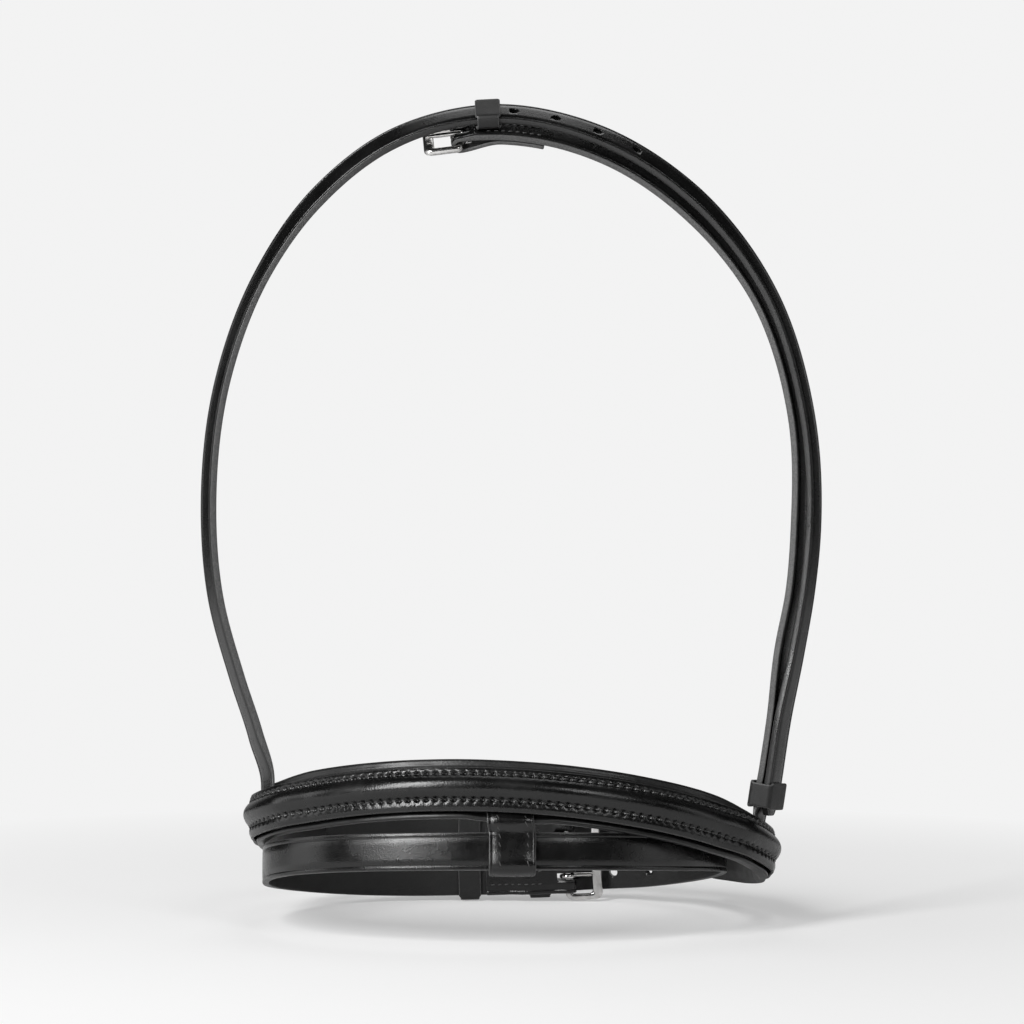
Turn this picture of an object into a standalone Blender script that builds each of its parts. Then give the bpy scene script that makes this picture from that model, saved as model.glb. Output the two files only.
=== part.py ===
"""A bridle noseband with its headpiece and a flash strap, in metres, +Z up.

Seen from the front, +X is to the right and +Y goes away. The origin is where the
headpiece rests on the poll, so everything else hangs below it.
"""
import math

import bmesh
import bpy
from mathutils import Matrix, Vector

PART = "bridle_noseband"

# Fits that all the pieces share
CLEARANCE = 0.0003
KEEPER_FIT = 0.0005
HEEL_FIT = 0.00055
CORE_FIT = 0.00045
EDGE_ROUND = 0.0005
OVERRUN = 0.004
WELD_DISTANCE = 0.00001

# How finely the curved pieces are divided
STATION_SPACING = 0.0090
NEAR_SHARE = 0.3
ROUTE_STEPS = 12
SEARCH_STEPS = 2000
FOLD_STEPS = 8
HOLE_SIDES = 10
CORNER_STEPS = 3
COIL_STEPS = 10
SHARP_ANGLE = math.radians(40)
BEVEL_ANGLE = math.radians(50)

# Where the origin lies, above the lowest point and behind the nosepiece's middle
POLL_HEIGHT = 0.3528
POLL_SETBACK = -0.026

# Outline that both rings share: right half from front to rear, as shares of the half sizes
RING_SHARES = (
    (0.0, -1.0), (0.293, -0.969), (0.533, -0.877), (0.730, -0.730), (0.877, -0.533),
    (0.969, -0.293), (1.0, 0.0), (0.972, 0.300), (0.885, 0.560), (0.750, 0.775),
    (0.580, 0.925), (0.400, 0.995), (0.270, 1.0), (0.130, 1.0), (0.0, 1.0),
)

# The flash strap's right half turns in sooner, because it goes inside the nosepiece there
FLASH_RIGHT_SHARES = (
    (0.0, -1.0), (0.235, -0.962), (0.425, -0.850), (0.590, -0.675), (0.725, -0.480),
    (0.820, -0.250), (0.860, 0.0), (0.845, 0.300), (0.780, 0.560), (0.680, 0.775),
    (0.540, 0.925), (0.385, 0.995), (0.265, 1.0), (0.130, 1.0), (0.0, 1.0),
)

# Nosepiece ring, measured at the face between the lining and the outer band
NOSE_HALF_WIDTH = 0.1155
NOSE_HALF_DEPTH = 0.0835
NOSE_MIDDLE_DEPTH = 0.0035
NOSE_MIDDLE_HEIGHT = 0.0509
NOSE_FRONT_RISE = 0.0178
NOSE_LEFT_RISE = 0.00645
NOSE_SIDE_DROP = 0.01085
NOSE_RIGHT_DROP = 0.0026
NOSE_FRONT_LEAN = math.radians(18)

# Nosepiece: a stitched outer band over a raised core, on a foam pad in a leather lining
BAND_WIDTH = 0.021
BAND_LEATHER = 0.0022
BAND_FRONT_GAP = 0.0005
BAND_SEWN_GAP = 0.0029
BAND_RAMP = 0.020
BAND_END_ANGLE = math.radians(128)
BEAD_WIDTH = 0.0100
BEAD_RISE = 0.0027
CORE_END_ANGLE = math.radians(50)
LINING_WIDTH = 0.0266
LINING_SIDE_WIDTH = 0.0245
LINING_DEPTH = 0.0062
LINING_LEATHER = 0.0013
LINING_ROLL = 0.0001
LINING_ROLL_SINK = 0.0007
LINING_GROOVE = 0.0019
LINING_EDGE_SINK = 0.0015
LINING_DROP = 0.0007
LINING_SIDE_DROP = 0.00085
TAPER_START_ANGLE = math.radians(45)
TAPER_END_ANGLE = math.radians(62)
LINING_END_ANGLE = math.radians(132)
FOAM_WIDTH = 0.0150
END_ROUNDING = 0.009
END_SHARE = 0.45
END_MARK_SHARES = (0.12, 0.35, 0.65)
BEAD_SHARES = (0.36, 0.72, 1.0)
BEAD_FULLNESS_SHARE = 0.8
CORE_SHARES = (0.6, 0.88)

# Lining's section: where its wall, groove and roll lie, and how deep its inner face is
WALL_SHARE = 0.02
GROOVE_SHARES = (0.60, 0.80)
ROLL_SHARES = (0.85, 0.94)
LINING_SHARES = (1.0, 0.90, 0.88, 0.86, 0.76, 0.68, 0.57, 0.42)

# Buckles: the same pattern in three strap widths
HEEL_BAR = 0.0028
SIDE_BAR = 0.0030
END_BAR = 0.0048
FRAME_REACH = 0.0162
FRAME_THICKNESS = 0.0028
FRAME_STRAP_ROOM = 0.0006
FRAME_CORNER = 0.0034
FRAME_INNER_CORNER = 0.0012
FRAME_EDGE_ROUND = 0.0006
TONGUE_WIRE = 0.0021
TONGUE_FIT = 0.00055
TONGUE_SLOT_ROOM = 0.0007
TONGUE_COIL_TURN = math.radians(235)
SHANK_SHARES = (0.3, 0.65, 0.93, 1.0)
TIP_RADIUS_SHARES = (0.9, 0.5)

# Chapes: the strap's end is skived, folded round the heel bar and stitched back on itself
CHAPE_LEATHER = 0.0018
CHAPE_SKIVE = 0.009
CHAPE_RETURN = 0.039
SLOT_REACH = 0.0052

# Keepers
KEEPER_LEATHER = 0.0016
KEEPER_CORNER = 0.0012
FIXED_KEEPER_LENGTH = 0.0112
FIXED_KEEPER_FROM_HEEL = 0.0136
RUNNING_KEEPER_LENGTH = 0.0106
RUNNING_KEEPER_FROM_HEEL = 0.0470

# Billets: they lie outside the buckles, over the bars, and end in a blunt point
BILLET_OVER_FRAME = 0.0052
BILLET_RISE_LENGTH = 0.030
POINT_LENGTH = 0.009
POINT_MARK_SHARES = (0.35, 0.7, 0.9)
HOLE_DIAMETER = 0.0040
HOLE_PITCH = 0.0190

# Chin straps, which close the nosepiece ring at the rear
CHIN_WIDTH = 0.018
CHIN_LEATHER = 0.0028
CHIN_BUCKLE_ACROSS = 0.0262
CHIN_SEWN_LENGTH = 0.018
CHIN_SEWN_LEATHER = 0.0014
CHIN_SEWN_RISE = 0.0007
CHIN_TAIL_FROM_HEEL = 0.066
CHIN_HOLES = 4

# Flash strap ring, measured at the inner face of the strap
FLASH_WIDTH = 0.016
FLASH_LEATHER = 0.0030
FLASH_HALF_WIDTH = 0.1095
FLASH_HALF_DEPTH = 0.0748
FLASH_MIDDLE_ACROSS = 0.0
FLASH_MIDDLE_DEPTH = -0.0072
FLASH_MIDDLE_HEIGHT = 0.0273
FLASH_FRONT_RISE = 0.0149
FLASH_LEFT_RISE = -0.0034
FLASH_SIDE_DROP = -0.0026
FLASH_TWIST = 0.0030
FLASH_FRONT_LEAN = math.radians(11)
FLASH_BUCKLE_ACROSS = 0.0267
FLASH_TAIL_FROM_HEEL = 0.092
FLASH_HOLES = 5

# Loop under the nosepiece's front that carries the flash strap
LOOP_WIDTH = 0.0200
LOOP_LEATHER = 0.0018
LOOP_TUCK = 0.0005
LOOP_SINK = 0.00065
LOOP_TIP = 0.0010
LOOP_FIT = 0.0009
LOOP_ROLL_ROOM = 0.0014
LOOP_BEND_SHARES = (0.6, 0.97)

# Headpiece: a long strap from the left, over the poll and down outside the buckle strap
HEADPIECE_WIDTH = 0.0130
HEADPIECE_LEATHER = 0.0030
HEADPIECE_HALF_WIDTH = 0.1350
HEADPIECE_HEIGHT = 0.3634
HEADPIECE_LEAN = math.radians(26)
HEADPIECE_TOP_LEAN = math.radians(38)
TOP_LEAN_SHARES = (0.75, 0.97)
HEADPIECE_SEWN_DEPTH = 0.007
HEADPIECE_SEWN_LEATHER = 0.0013
HEADPIECE_SEAM_GAP = 0.0008
HEADPIECE_SKIVE = 0.030
HEADPIECE_HOLES = 4
LEFT_SEAT_ANGLE = math.radians(-65)
RIGHT_SEAT_ANGLE = math.radians(66.5)

# Centre lines of the headpiece's straps, as shares of its half width and height
LONG_STRAP_SHARES = (
    (-0.836, 0.242), (-0.897, 0.312), (-0.968, 0.410), (-0.991, 0.529), (-0.944, 0.676),
    (-0.815, 0.804), (-0.640, 0.8965), (-0.385, 0.9695), (-0.073, 0.9990), (0.290, 0.9725),
    (0.6005, 0.898), (0.8345, 0.786), (0.961, 0.639), (0.984, 0.493), (0.9645, 0.419),
    (0.931, 0.346),
)
BUCKLE_STRAP_SHARES = (
    (-0.312, 0.9660), (-0.176, 0.9768), (-0.085, 0.9790), (0.050, 0.9762), (0.290, 0.952),
    (0.601, 0.873), (0.7965, 0.780), (0.925, 0.633), (0.935, 0.493), (0.919, 0.419),
    (0.8815, 0.346),
)

# Straight run above the right seat, where both straps lie together through the keeper
RUN_LENGTH = 0.038
RUN_SLOPE = 0.15
RUNNER_LENGTH = 0.0120
LONG_END_ABOVE_BAND = 0.0012
LONG_TAIL = 0.0028


def world(across, depth, height):
    """A point from the middle plane, the nosepiece's middle and the lowest point."""
    return Vector((across, depth - POLL_SETBACK, height - POLL_HEIGHT))


class Frame:
    """A point on a route, with its directions along, across and out of the strap."""

    def __init__(self, point, along, across):
        self.point = point
        self.along = along.normalized()
        self.across = (across - self.along * across.dot(self.along)).normalized()
        self.out = self.along.cross(self.across)

    def place(self, across, out):
        return self.point + self.across * across + self.out * out


class Route:
    """A smooth line through rows of (point, width direction), read by distance.

    Layers that lie on one route share its pitch, so that their facets run together.
    """

    def __init__(self, rows, closed=False):
        self.closed = closed
        self.points = []
        self.widths = []
        self.knots = []
        count = len(rows)
        last = count if closed else count - 1
        tangents = [self.tangent(rows, i) for i in range(count)]
        for i in range(last):
            (p, w), (q, v) = rows[i], rows[(i + 1) % count]
            a, b = tangents[i], tangents[(i + 1) % count]
            chord = (q - p).length
            self.knots.append(len(self.points))
            for step in range(ROUTE_STEPS):
                t = step / ROUTE_STEPS
                self.points.append(hermite(p, q, a * chord, b * chord, t))
                self.widths.append(w.lerp(v, t))
        self.knots.append(len(self.points))
        self.points.append(rows[last % count][0].copy())
        self.widths.append(rows[last % count][1].copy())
        self.distances = [0.0]
        for p, q in zip(self.points, self.points[1:]):
            self.distances.append(self.distances[-1] + (q - p).length)
        self.length = self.distances[-1]
        self.pitch = self.length / round(self.length / STATION_SPACING)

    def tangent(self, rows, i):
        count = len(rows)
        if not self.closed and i == 0:
            return (rows[1][0] - rows[0][0]).normalized()
        if not self.closed and i == count - 1:
            return (rows[-1][0] - rows[-2][0]).normalized()
        before = rows[i][0] - rows[i - 1][0]
        after = rows[(i + 1) % count][0] - rows[i][0]
        d, e = before.length, after.length
        return (before * (e / d) + after * (d / e)) / (d + e)

    def knot(self, i):
        """The distance at which row i lies."""
        return self.distances[self.knots[i]]

    def locate(self, distance):
        if self.closed:
            distance %= self.length
        distance = min(max(distance, 0.0), self.length)
        low, high = 0, len(self.distances) - 1
        while high - low > 1:
            middle = (low + high) // 2
            if self.distances[middle] > distance:
                high = middle
            else:
                low = middle
        span = self.distances[high] - self.distances[low]
        return low, (distance - self.distances[low]) / span

    def slope(self, i):
        last = len(self.points) - 1
        if self.closed:
            i %= last
            return self.points[(i + 1) % last] - self.points[i - 1 if i else last - 1]
        return self.points[min(i + 1, last)] - self.points[max(i - 1, 0)]

    def at(self, distance):
        i, t = self.locate(distance)
        point = self.points[i].lerp(self.points[i + 1], t)
        along = self.slope(i).normalized().lerp(self.slope(i + 1).normalized(), t)
        return Frame(point, along, self.widths[i].lerp(self.widths[i + 1], t))

    def nearest(self, test, start=0.0, end=None):
        """The distance at which test(point) is smallest, between start and end."""
        end = self.length if end is None else end
        picks = [start + (end - start) * i / SEARCH_STEPS for i in range(SEARCH_STEPS + 1)]
        return min(picks, key=lambda d: test(self.at(d).point))


def hermite(p, q, a, b, t):
    return (p * (2 * t**3 - 3 * t**2 + 1) + a * (t**3 - 2 * t**2 + t)
            + q * (3 * t**2 - 2 * t**3) + b * (t**3 - t**2))


def smooth(t):
    t = min(max(t, 0.0), 1.0)
    return t * t * (3 - 2 * t)


def ramp(value, table):
    """Reads a table of (place, level) rows, easing from one row to the next."""
    if value <= table[0][0]:
        return table[0][1]
    for (a, low), (b, high) in zip(table, table[1:]):
        if value <= b:
            return low + (high - low) * smooth((value - a) / (b - a))
    return table[-1][1]


def stations(route, start, end, knots=()):
    """The route's whole pitches between two distances, with the two ends and any knots."""
    fixed = sorted([start, end, *knots])
    marks = []
    for a, b in zip(fixed, fixed[1:]):
        first = math.ceil(a / route.pitch + NEAR_SHARE)
        last = math.floor(b / route.pitch - NEAR_SHARE)
        marks += [a] + [route.pitch * i for i in range(first, last + 1)]
    return marks + [end]


# The routes


def ring_rows(half_width, half_depth, middle, rises, lean, right=RING_SHARES):
    """Rows round a ring, anticlockwise from above, starting at the rear."""
    across_mid, depth_mid, height_mid = middle
    front_rise, left_rise, side_drop, twist, right_drop = rises
    left = [(-x, y) for x, y in reversed(RING_SHARES)]
    rows = []
    for x, y in left + list(right[1:-1]):
        height = height_mid - front_rise * y - left_rise * x - side_drop * x * x
        height -= twist * x * max(0.0, -y) + right_drop * max(0.0, x) ** 8
        tip = lean * max(0.0, -y) ** 1.5
        inward = Vector((-x, -y, 0)).normalized()
        width = Vector((0, 0, 1)) * math.cos(tip) + inward * math.sin(tip)
        point = world(across_mid + x * half_width, depth_mid + y * half_depth, height)
        rows.append((point, width))
    return rows


NOSE = Route(ring_rows(
    NOSE_HALF_WIDTH, NOSE_HALF_DEPTH, (0.0, NOSE_MIDDLE_DEPTH, NOSE_MIDDLE_HEIGHT),
    (NOSE_FRONT_RISE, NOSE_LEFT_RISE, NOSE_SIDE_DROP, 0, NOSE_RIGHT_DROP), NOSE_FRONT_LEAN),
    closed=True)

FLASH = Route(ring_rows(
    FLASH_HALF_WIDTH, FLASH_HALF_DEPTH,
    (FLASH_MIDDLE_ACROSS, FLASH_MIDDLE_DEPTH, FLASH_MIDDLE_HEIGHT),
    (FLASH_FRONT_RISE, FLASH_LEFT_RISE, FLASH_SIDE_DROP, FLASH_TWIST, 0), FLASH_FRONT_LEAN,
    FLASH_RIGHT_SHARES), closed=True)


def nose_at_angle(angle):
    """Distance round the nosepiece at a plan angle, from the front and to the right."""
    def off(point):
        across = point.x / NOSE_HALF_WIDTH
        depth = (point.y + POLL_SETBACK - NOSE_MIDDLE_DEPTH) / NOSE_HALF_DEPTH
        return abs(math.remainder(math.atan2(across, -depth) - angle, math.tau))
    return NOSE.nearest(off)


def span(angle):
    return nose_at_angle(-angle), nose_at_angle(angle)


NOSE_FRONT = nose_at_angle(0)
BAND_START, BAND_END = span(BAND_END_ANGLE)
LINING_START, LINING_END = span(LINING_END_ANGLE)
TAPER_START, TAPER_END = nose_at_angle(TAPER_START_ANGLE), nose_at_angle(TAPER_END_ANGLE)
LEFT_SEAT = nose_at_angle(LEFT_SEAT_ANGLE)
RIGHT_SEAT = nose_at_angle(RIGHT_SEAT_ANGLE)


def headpiece_lean(share):
    """The straps lean more toward the top, by height as a share of the loop's height."""
    low, high = TOP_LEAN_SHARES
    return HEADPIECE_LEAN + (HEADPIECE_TOP_LEAN - HEADPIECE_LEAN) * smooth(
        (share - low) / (high - low))


def leaning_rows(shares):
    """Rows of a headpiece strap, its rear edge leaning outward from the loop's plane."""
    points = [world(x * HEADPIECE_HALF_WIDTH, POLL_SETBACK, z * HEADPIECE_HEIGHT)
              for x, z in shares]
    rows = []
    for i, point in enumerate(points):
        along = points[min(i + 1, len(points) - 1)] - points[max(i - 1, 0)]
        outward = along.normalized().cross(Vector((0, 1, 0)))
        lean = headpiece_lean(shares[i][1])
        rows.append((point, Vector((0, math.cos(lean), 0)) + outward * math.sin(lean)))
    return rows


def seat_rows(distance, side, out, heights):
    """Rows up from a seat on the nosepiece, square to the band and along its curve."""
    seat = NOSE.at(distance)
    return [(seat.place(height, out), seat.along * side) for height in heights]


def run_rows(distance, out, starts):
    """Rows of the straight run above the right seat."""
    seat = NOSE.at(distance)
    foot = seat.place(LINING_WIDTH / 2, out)
    rows = []
    for rise in starts:
        rows.append((foot + Vector((RUN_SLOPE * rise, 0, rise)), seat.along.copy()))
    return rows


SEAT_HEIGHTS = (-HEADPIECE_SEWN_DEPTH + BAND_WIDTH / 2, BAND_WIDTH / 2, LINING_WIDTH / 2)
RUN_RISES = (RUN_LENGTH, RUN_LENGTH / 2, 0.0)
LONG_RUN_RISES = (
    RUN_LENGTH, RUN_LENGTH / 2, (BAND_WIDTH - LINING_WIDTH) / 2 + LONG_END_ABOVE_BAND)
LONG_RUN_OUT = HEADPIECE_SEAM_GAP + HEADPIECE_LEATHER + 2 * CLEARANCE

LONG = Route(
    seat_rows(LEFT_SEAT, -1, HEADPIECE_SEAM_GAP, SEAT_HEIGHTS)
    + leaning_rows(LONG_STRAP_SHARES)
    + run_rows(RIGHT_SEAT, LONG_RUN_OUT, LONG_RUN_RISES))

SHORT = Route(
    leaning_rows(BUCKLE_STRAP_SHARES)
    + run_rows(RIGHT_SEAT, HEADPIECE_SEAM_GAP, RUN_RISES)
    + seat_rows(RIGHT_SEAT, 1, HEADPIECE_SEAM_GAP, SEAT_HEIGHTS[1::-1]))

# Objects and materials


def clear_scene():
    for obj in list(bpy.data.objects):
        bpy.data.objects.remove(obj)
    for name in (PART, PART + "_cutters"):
        bpy.context.scene.collection.children.link(bpy.data.collections.new(name))


def material(name, colour, roughness, metallic=0.0):
    mat = bpy.data.materials.new(name)
    mat.use_nodes = True
    shader = mat.node_tree.nodes["Principled BSDF"]
    shader.inputs["Base Color"].default_value = (*colour, 1.0)
    shader.inputs["Roughness"].default_value = roughness
    shader.inputs["Metallic"].default_value = metallic
    return mat


def leather(name):
    return material(name + "_leather", (0.012, 0.012, 0.013), 0.42)


def steel(name):
    return material(name + "_steel", (0.62, 0.62, 0.61), 0.18, 1.0)


def add_object(name, data, mat=None, cutter=False):
    obj = bpy.data.objects.new(name, data)
    bpy.data.collections[PART + ("_cutters" if cutter else "")].objects.link(obj)
    if cutter:
        obj.hide_render = True
        obj.display_type = "WIRE"
    if mat:
        data.materials.append(mat)
    return obj


def add_bevel(obj, width):
    bevel = obj.modifiers.new("edges", "BEVEL")
    bevel.width = width
    bevel.segments = 1
    bevel.limit_method = "ANGLE"
    bevel.angle_limit = BEVEL_ANGLE
    bevel.use_clamp_overlap = False


def add_weld(obj):
    """Joins a curve's caps to its sides."""
    weld = obj.modifiers.new("caps", "WELD")
    weld.merge_threshold = WELD_DISTANCE


def add_cut(obj, cutter):
    cut = obj.modifiers.new("cut_" + cutter.name, "BOOLEAN")
    cut.operation = "DIFFERENCE"
    cut.solver = "EXACT"
    cut.object = cutter


def shade(obj):
    obj.data.shade_smooth()
    obj.data.set_sharp_from_angle(angle=SHARP_ANGLE)


def strap(name, path, half_widths, inner, outer, columns=(-1, 1), edge=EDGE_ROUND):
    """A leather layer: a grid laid along a path and extruded to its thickness.

    inner and outer give the two faces' heights at station k and width share v.
    """
    rows, cols = len(path) - 1, len(columns) - 1
    bm = bmesh.new()
    bmesh.ops.create_grid(bm, x_segments=rows, y_segments=cols, size=1)
    made = bmesh.ops.extrude_face_region(bm, geom=bm.faces[:])["geom"]
    top = {v for v in made if isinstance(v, bmesh.types.BMVert)}
    for vert in bm.verts:
        k = round((vert.co.x + 1) / 2 * rows)
        v = columns[round((vert.co.y + 1) / 2 * cols)]
        height = outer(k, v) if vert in top else inner(k, v)
        vert.co = path[k].place(v * half_widths[k], height)
    bmesh.ops.recalc_face_normals(bm, faces=bm.faces)
    if bm.calc_volume(signed=True) < 0:
        bmesh.ops.reverse_faces(bm, faces=bm.faces)
    mesh = bpy.data.meshes.new(name)
    bm.to_mesh(mesh)
    bm.free()
    obj = add_object(name, mesh, leather(name))
    if edge:
        add_bevel(obj, edge)
    shade(obj)
    return obj


def add_pivot(name, point, pieces):
    """An empty on a joint's axis, with the pieces that move round it."""
    pivot = add_object(name, None)
    pivot.location = point
    for obj in pieces:
        obj.parent = pivot
        obj.matrix_parent_inverse = Matrix.Translation(-point)


def table_at(value, table):
    """Reads a table of (place, level) rows in straight lines."""
    for (a, low), (b, high) in zip(table, table[1:]):
        if value <= b:
            return low + (high - low) * (value - a) / (b - a)
    return table[-1][1]


def rounded_ends(marks, half_width, rounding):
    """Half widths along a layer whose ends are rounded off."""
    widths = []
    for mark in marks:
        reach = min(marks[-1] - mark, mark - marks[0])
        share = min(reach / rounding, 1.0)
        widths.append(half_width * (END_SHARE + (1 - END_SHARE) * math.sqrt(1 - (1 - share) ** 2)))
    return widths


def end_marks(start, end, rounding):
    """Stations on the nosepiece with a few more where the ends are rounded."""
    inner = stations(NOSE, start + rounding, end - rounding)
    return ([start] + [start + rounding * s for s in END_MARK_SHARES] + inner
            + [end - rounding * s for s in reversed(END_MARK_SHARES)] + [end])


# The nosepiece


def band_gap(distance):
    """The band stands further off the lining where straps are sewn in under it."""
    free = min(abs(distance - LEFT_SEAT) - HEADPIECE_WIDTH,
               abs(RIGHT_SEAT - distance) - HEADPIECE_WIDTH,
               distance - BAND_START - CHIN_SEWN_LENGTH,
               BAND_END - CHIN_SEWN_LENGTH - distance)
    return ramp(free, ((0.0, BAND_SEWN_GAP), (BAND_RAMP, BAND_FRONT_GAP)))


def bead(v):
    """Height of the band's raised bead at a share of the band's half width."""
    reach = abs(v) * BAND_WIDTH / BEAD_WIDTH
    return BEAD_RISE * math.cos(min(reach, 1.0) * math.pi / 2) ** BEAD_FULLNESS_SHARE


def build_band():
    marks = end_marks(BAND_START, BAND_END, END_ROUNDING)
    path = [NOSE.at(mark) for mark in marks]
    bead_share = BEAD_WIDTH / BAND_WIDTH
    columns = both_sides([0] + [bead_share * share for share in BEAD_SHARES] + [1])
    return strap(
        "nosepiece_outer_band", path, rounded_ends(marks, BAND_WIDTH / 2, END_ROUNDING),
        lambda k, v: band_gap(marks[k]) + bead(v),
        lambda k, v: band_gap(marks[k]) + bead(v) + BAND_LEATHER, columns)


def build_core():
    start, end = span(CORE_END_ANGLE)
    marks = end_marks(start, end, END_ROUNDING)
    path = [NOSE.at(mark) for mark in marks]
    share = BEAD_WIDTH / BAND_WIDTH
    half = BEAD_WIDTH / 2 - CLEARANCE
    return strap(
        "nosepiece_raised_core", path, rounded_ends(marks, half, END_ROUNDING),
        lambda k, v: CLEARANCE, lambda k, v: band_gap(marks[k]) + bead(v * share) - CORE_FIT,
        both_sides((0,) + CORE_SHARES), edge=0)


def lining_rows(groove):
    """Rows of width share, inner height share and outer height, from the middle out."""
    channel = FOAM_WIDTH / LINING_WIDTH
    floor = -LINING_DEPTH + LINING_LEATHER
    return (
        (0.0, LINING_SHARES[0], floor), (channel, LINING_SHARES[1], floor * LINING_SHARES[1]),
        (channel + WALL_SHARE, LINING_SHARES[2], -CLEARANCE),
        (GROOVE_SHARES[0], LINING_SHARES[3], -groove),
        (GROOVE_SHARES[1], LINING_SHARES[4], -groove),
        (ROLL_SHARES[0], LINING_SHARES[5], -LINING_ROLL_SINK),
        (ROLL_SHARES[1], LINING_SHARES[6], LINING_ROLL), (1.0, LINING_SHARES[7], -LINING_EDGE_SINK),
    )


def lining_inner(v):
    rows = [(share, -LINING_DEPTH * depth) for share, depth, level in lining_rows(CLEARANCE)]
    return table_at(abs(v), rows)


def lining_outer(v):
    """The lower side has a groove, where the flash strap's loop is sewn in."""
    rows = lining_rows(LINING_GROOVE if v < 0 else CLEARANCE)
    return table_at(abs(v), [(share, level) for share, depth, level in rows])


def both_sides(shares):
    return tuple(-share for share in reversed(shares) if share) + tuple(shares)


def side_share(distance):
    """0 along the front of the nosepiece and 1 along its sides."""
    reach = NOSE_FRONT + abs(distance - NOSE_FRONT)
    return smooth((reach - TAPER_START) / (TAPER_END - TAPER_START))


def lining_path(marks):
    """The padding sits a little lower than the band in front of it."""
    path = []
    for mark in marks:
        frame = NOSE.at(mark)
        drop = LINING_DROP + (LINING_SIDE_DROP - LINING_DROP) * side_share(mark)
        frame.point = frame.place(-drop, 0)
        path.append(frame)
    return path


def lining_widths(marks, half):
    """Half widths of a layer of the padding, which narrows a little along the sides."""
    taper = 1 - LINING_SIDE_WIDTH / LINING_WIDTH
    widths = rounded_ends(marks, half, END_ROUNDING)
    return [width * (1 - taper * side_share(mark)) for width, mark in zip(widths, marks)]


def build_lining():
    marks = end_marks(LINING_START, LINING_END, END_ROUNDING)
    columns = both_sides([row[0] for row in lining_rows(CLEARANCE)])
    return strap(
        "nosepiece_lining", lining_path(marks), lining_widths(marks, LINING_WIDTH / 2),
        lambda k, v: lining_inner(v), lambda k, v: lining_outer(v), columns, edge=0)


def build_foam():
    marks = end_marks(LINING_START + CLEARANCE, LINING_END - CLEARANCE, END_ROUNDING)
    half = FOAM_WIDTH / 2 - CLEARANCE
    share = FOAM_WIDTH / LINING_WIDTH
    return strap(
        "nosepiece_foam_pad", lining_path(marks), lining_widths(marks, half),
        lambda k, v: lining_outer(v * share) + CLEARANCE, lambda k, v: 0.0, (-1, 0, 1), edge=0)


# Straps that end in a buckle chape


class Chape:
    """The fold of a strap round its buckle's heel bar, at a distance along a route."""

    def __init__(self, route, heel, width, leather_thickness, keeper_inside=True):
        self.route = route
        self.heel = heel
        self.width = width
        self.leather = leather_thickness
        self.keeper_inside = keeper_inside
        self.bend = HEEL_BAR / 2 + HEEL_FIT
        self.seat = route.at(heel)
        self.axis = self.seat.place(0, -self.bend)

    def matrix(self):
        """Buckle axes: X toward the end bar, Y along the heel bar, Z out."""
        x, y, z = -self.seat.along, -self.seat.across, self.seat.out
        turn = Matrix((x, y, z)).transposed().to_4x4()
        return Matrix.Translation(self.axis) @ turn

    def return_levels(self):
        """How far the returned layer lies inside the strap, by distance from the heel."""
        under_keeper = KEEPER_LEATHER + 2 * KEEPER_FIT
        keeper_start = FIXED_KEEPER_FROM_HEEL - FIXED_KEEPER_LENGTH / 2 - CLEARANCE
        keeper_end = FIXED_KEEPER_FROM_HEEL + FIXED_KEEPER_LENGTH / 2 + CLEARANCE
        if not self.keeper_inside:
            return (0.0, 2 * self.bend), (keeper_end, CLEARANCE)
        return ((0.0, 2 * self.bend), (keeper_start, under_keeper), (keeper_end, under_keeper),
                (keeper_end + CHAPE_SKIVE, CLEARANCE))

    def return_path(self):
        levels = self.return_levels()
        knots = [self.heel + reach for reach, level in levels[1:]]
        marks = stations(self.route, self.heel, self.heel + CHAPE_RETURN, knots)[::-1]
        points = [self.route.at(m).place(0, -ramp(m - self.heel, levels)) for m in marks]
        widths = [self.route.at(m).across for m in marks]
        return list(zip(points, widths))

    def fold_path(self):
        rows = []
        for i in range(1, FOLD_STEPS):
            angle = math.pi * (i / FOLD_STEPS - 1 / 2)
            offset = self.seat.out * math.sin(angle) - self.seat.along * math.cos(angle)
            rows.append((self.axis + offset * self.bend, self.seat.across))
        return rows

    def cut_slot(self, obj):
        """The slot in the fold that the tongue comes out of."""
        slot = TONGUE_WIRE + 2 * TONGUE_SLOT_ROOM
        bpy.ops.mesh.primitive_cube_add(size=1)
        cutter = adopt_cutter(obj.name + "_slot")
        depth = 2 * (self.bend + self.leather + OVERRUN)
        cutter.data.transform(Matrix.Diagonal((2 * SLOT_REACH, slot, depth, 1)))
        cutter.matrix_world = self.matrix()
        add_cut(obj, cutter)


def adopt_cutter(name):
    obj = bpy.context.active_object
    for owner in obj.users_collection:
        owner.objects.unlink(obj)
    obj.name = name
    bpy.data.collections[PART + "_cutters"].objects.link(obj)
    obj.hide_render = True
    obj.display_type = "WIRE"
    return obj


def frames_of(rows):
    """Frames along a list of (point, width direction)."""
    frames = []
    last = len(rows) - 1
    for i, (point, width) in enumerate(rows):
        along = rows[min(i + 1, last)][0] - rows[max(i - 1, 0)][0]
        frames.append(Frame(point, along, width))
    return frames


def punch(obj, frames, leather_thickness):
    """Round holes through a strap, one at each frame."""
    for i, frame in enumerate(frames):
        bpy.ops.mesh.primitive_cylinder_add(
            vertices=HOLE_SIDES, radius=HOLE_DIAMETER / 2, depth=leather_thickness + 2 * OVERRUN)
        cutter = adopt_cutter(f"{obj.name}_hole_{i}")
        turn = Matrix((frame.along, frame.across, frame.out)).transposed().to_4x4()
        cutter.matrix_world = Matrix.Translation(frame.point) @ turn
        add_cut(obj, cutter)


def point_widths(marks, half_width):
    """Half widths of a strap whose last end comes to a blunt point."""
    widths = []
    for mark in marks:
        share = min((marks[-1] - mark) / POINT_LENGTH, 1.0)
        widths.append(half_width * (END_SHARE + (1 - END_SHARE) * share ** 0.7))
    return widths


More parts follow.
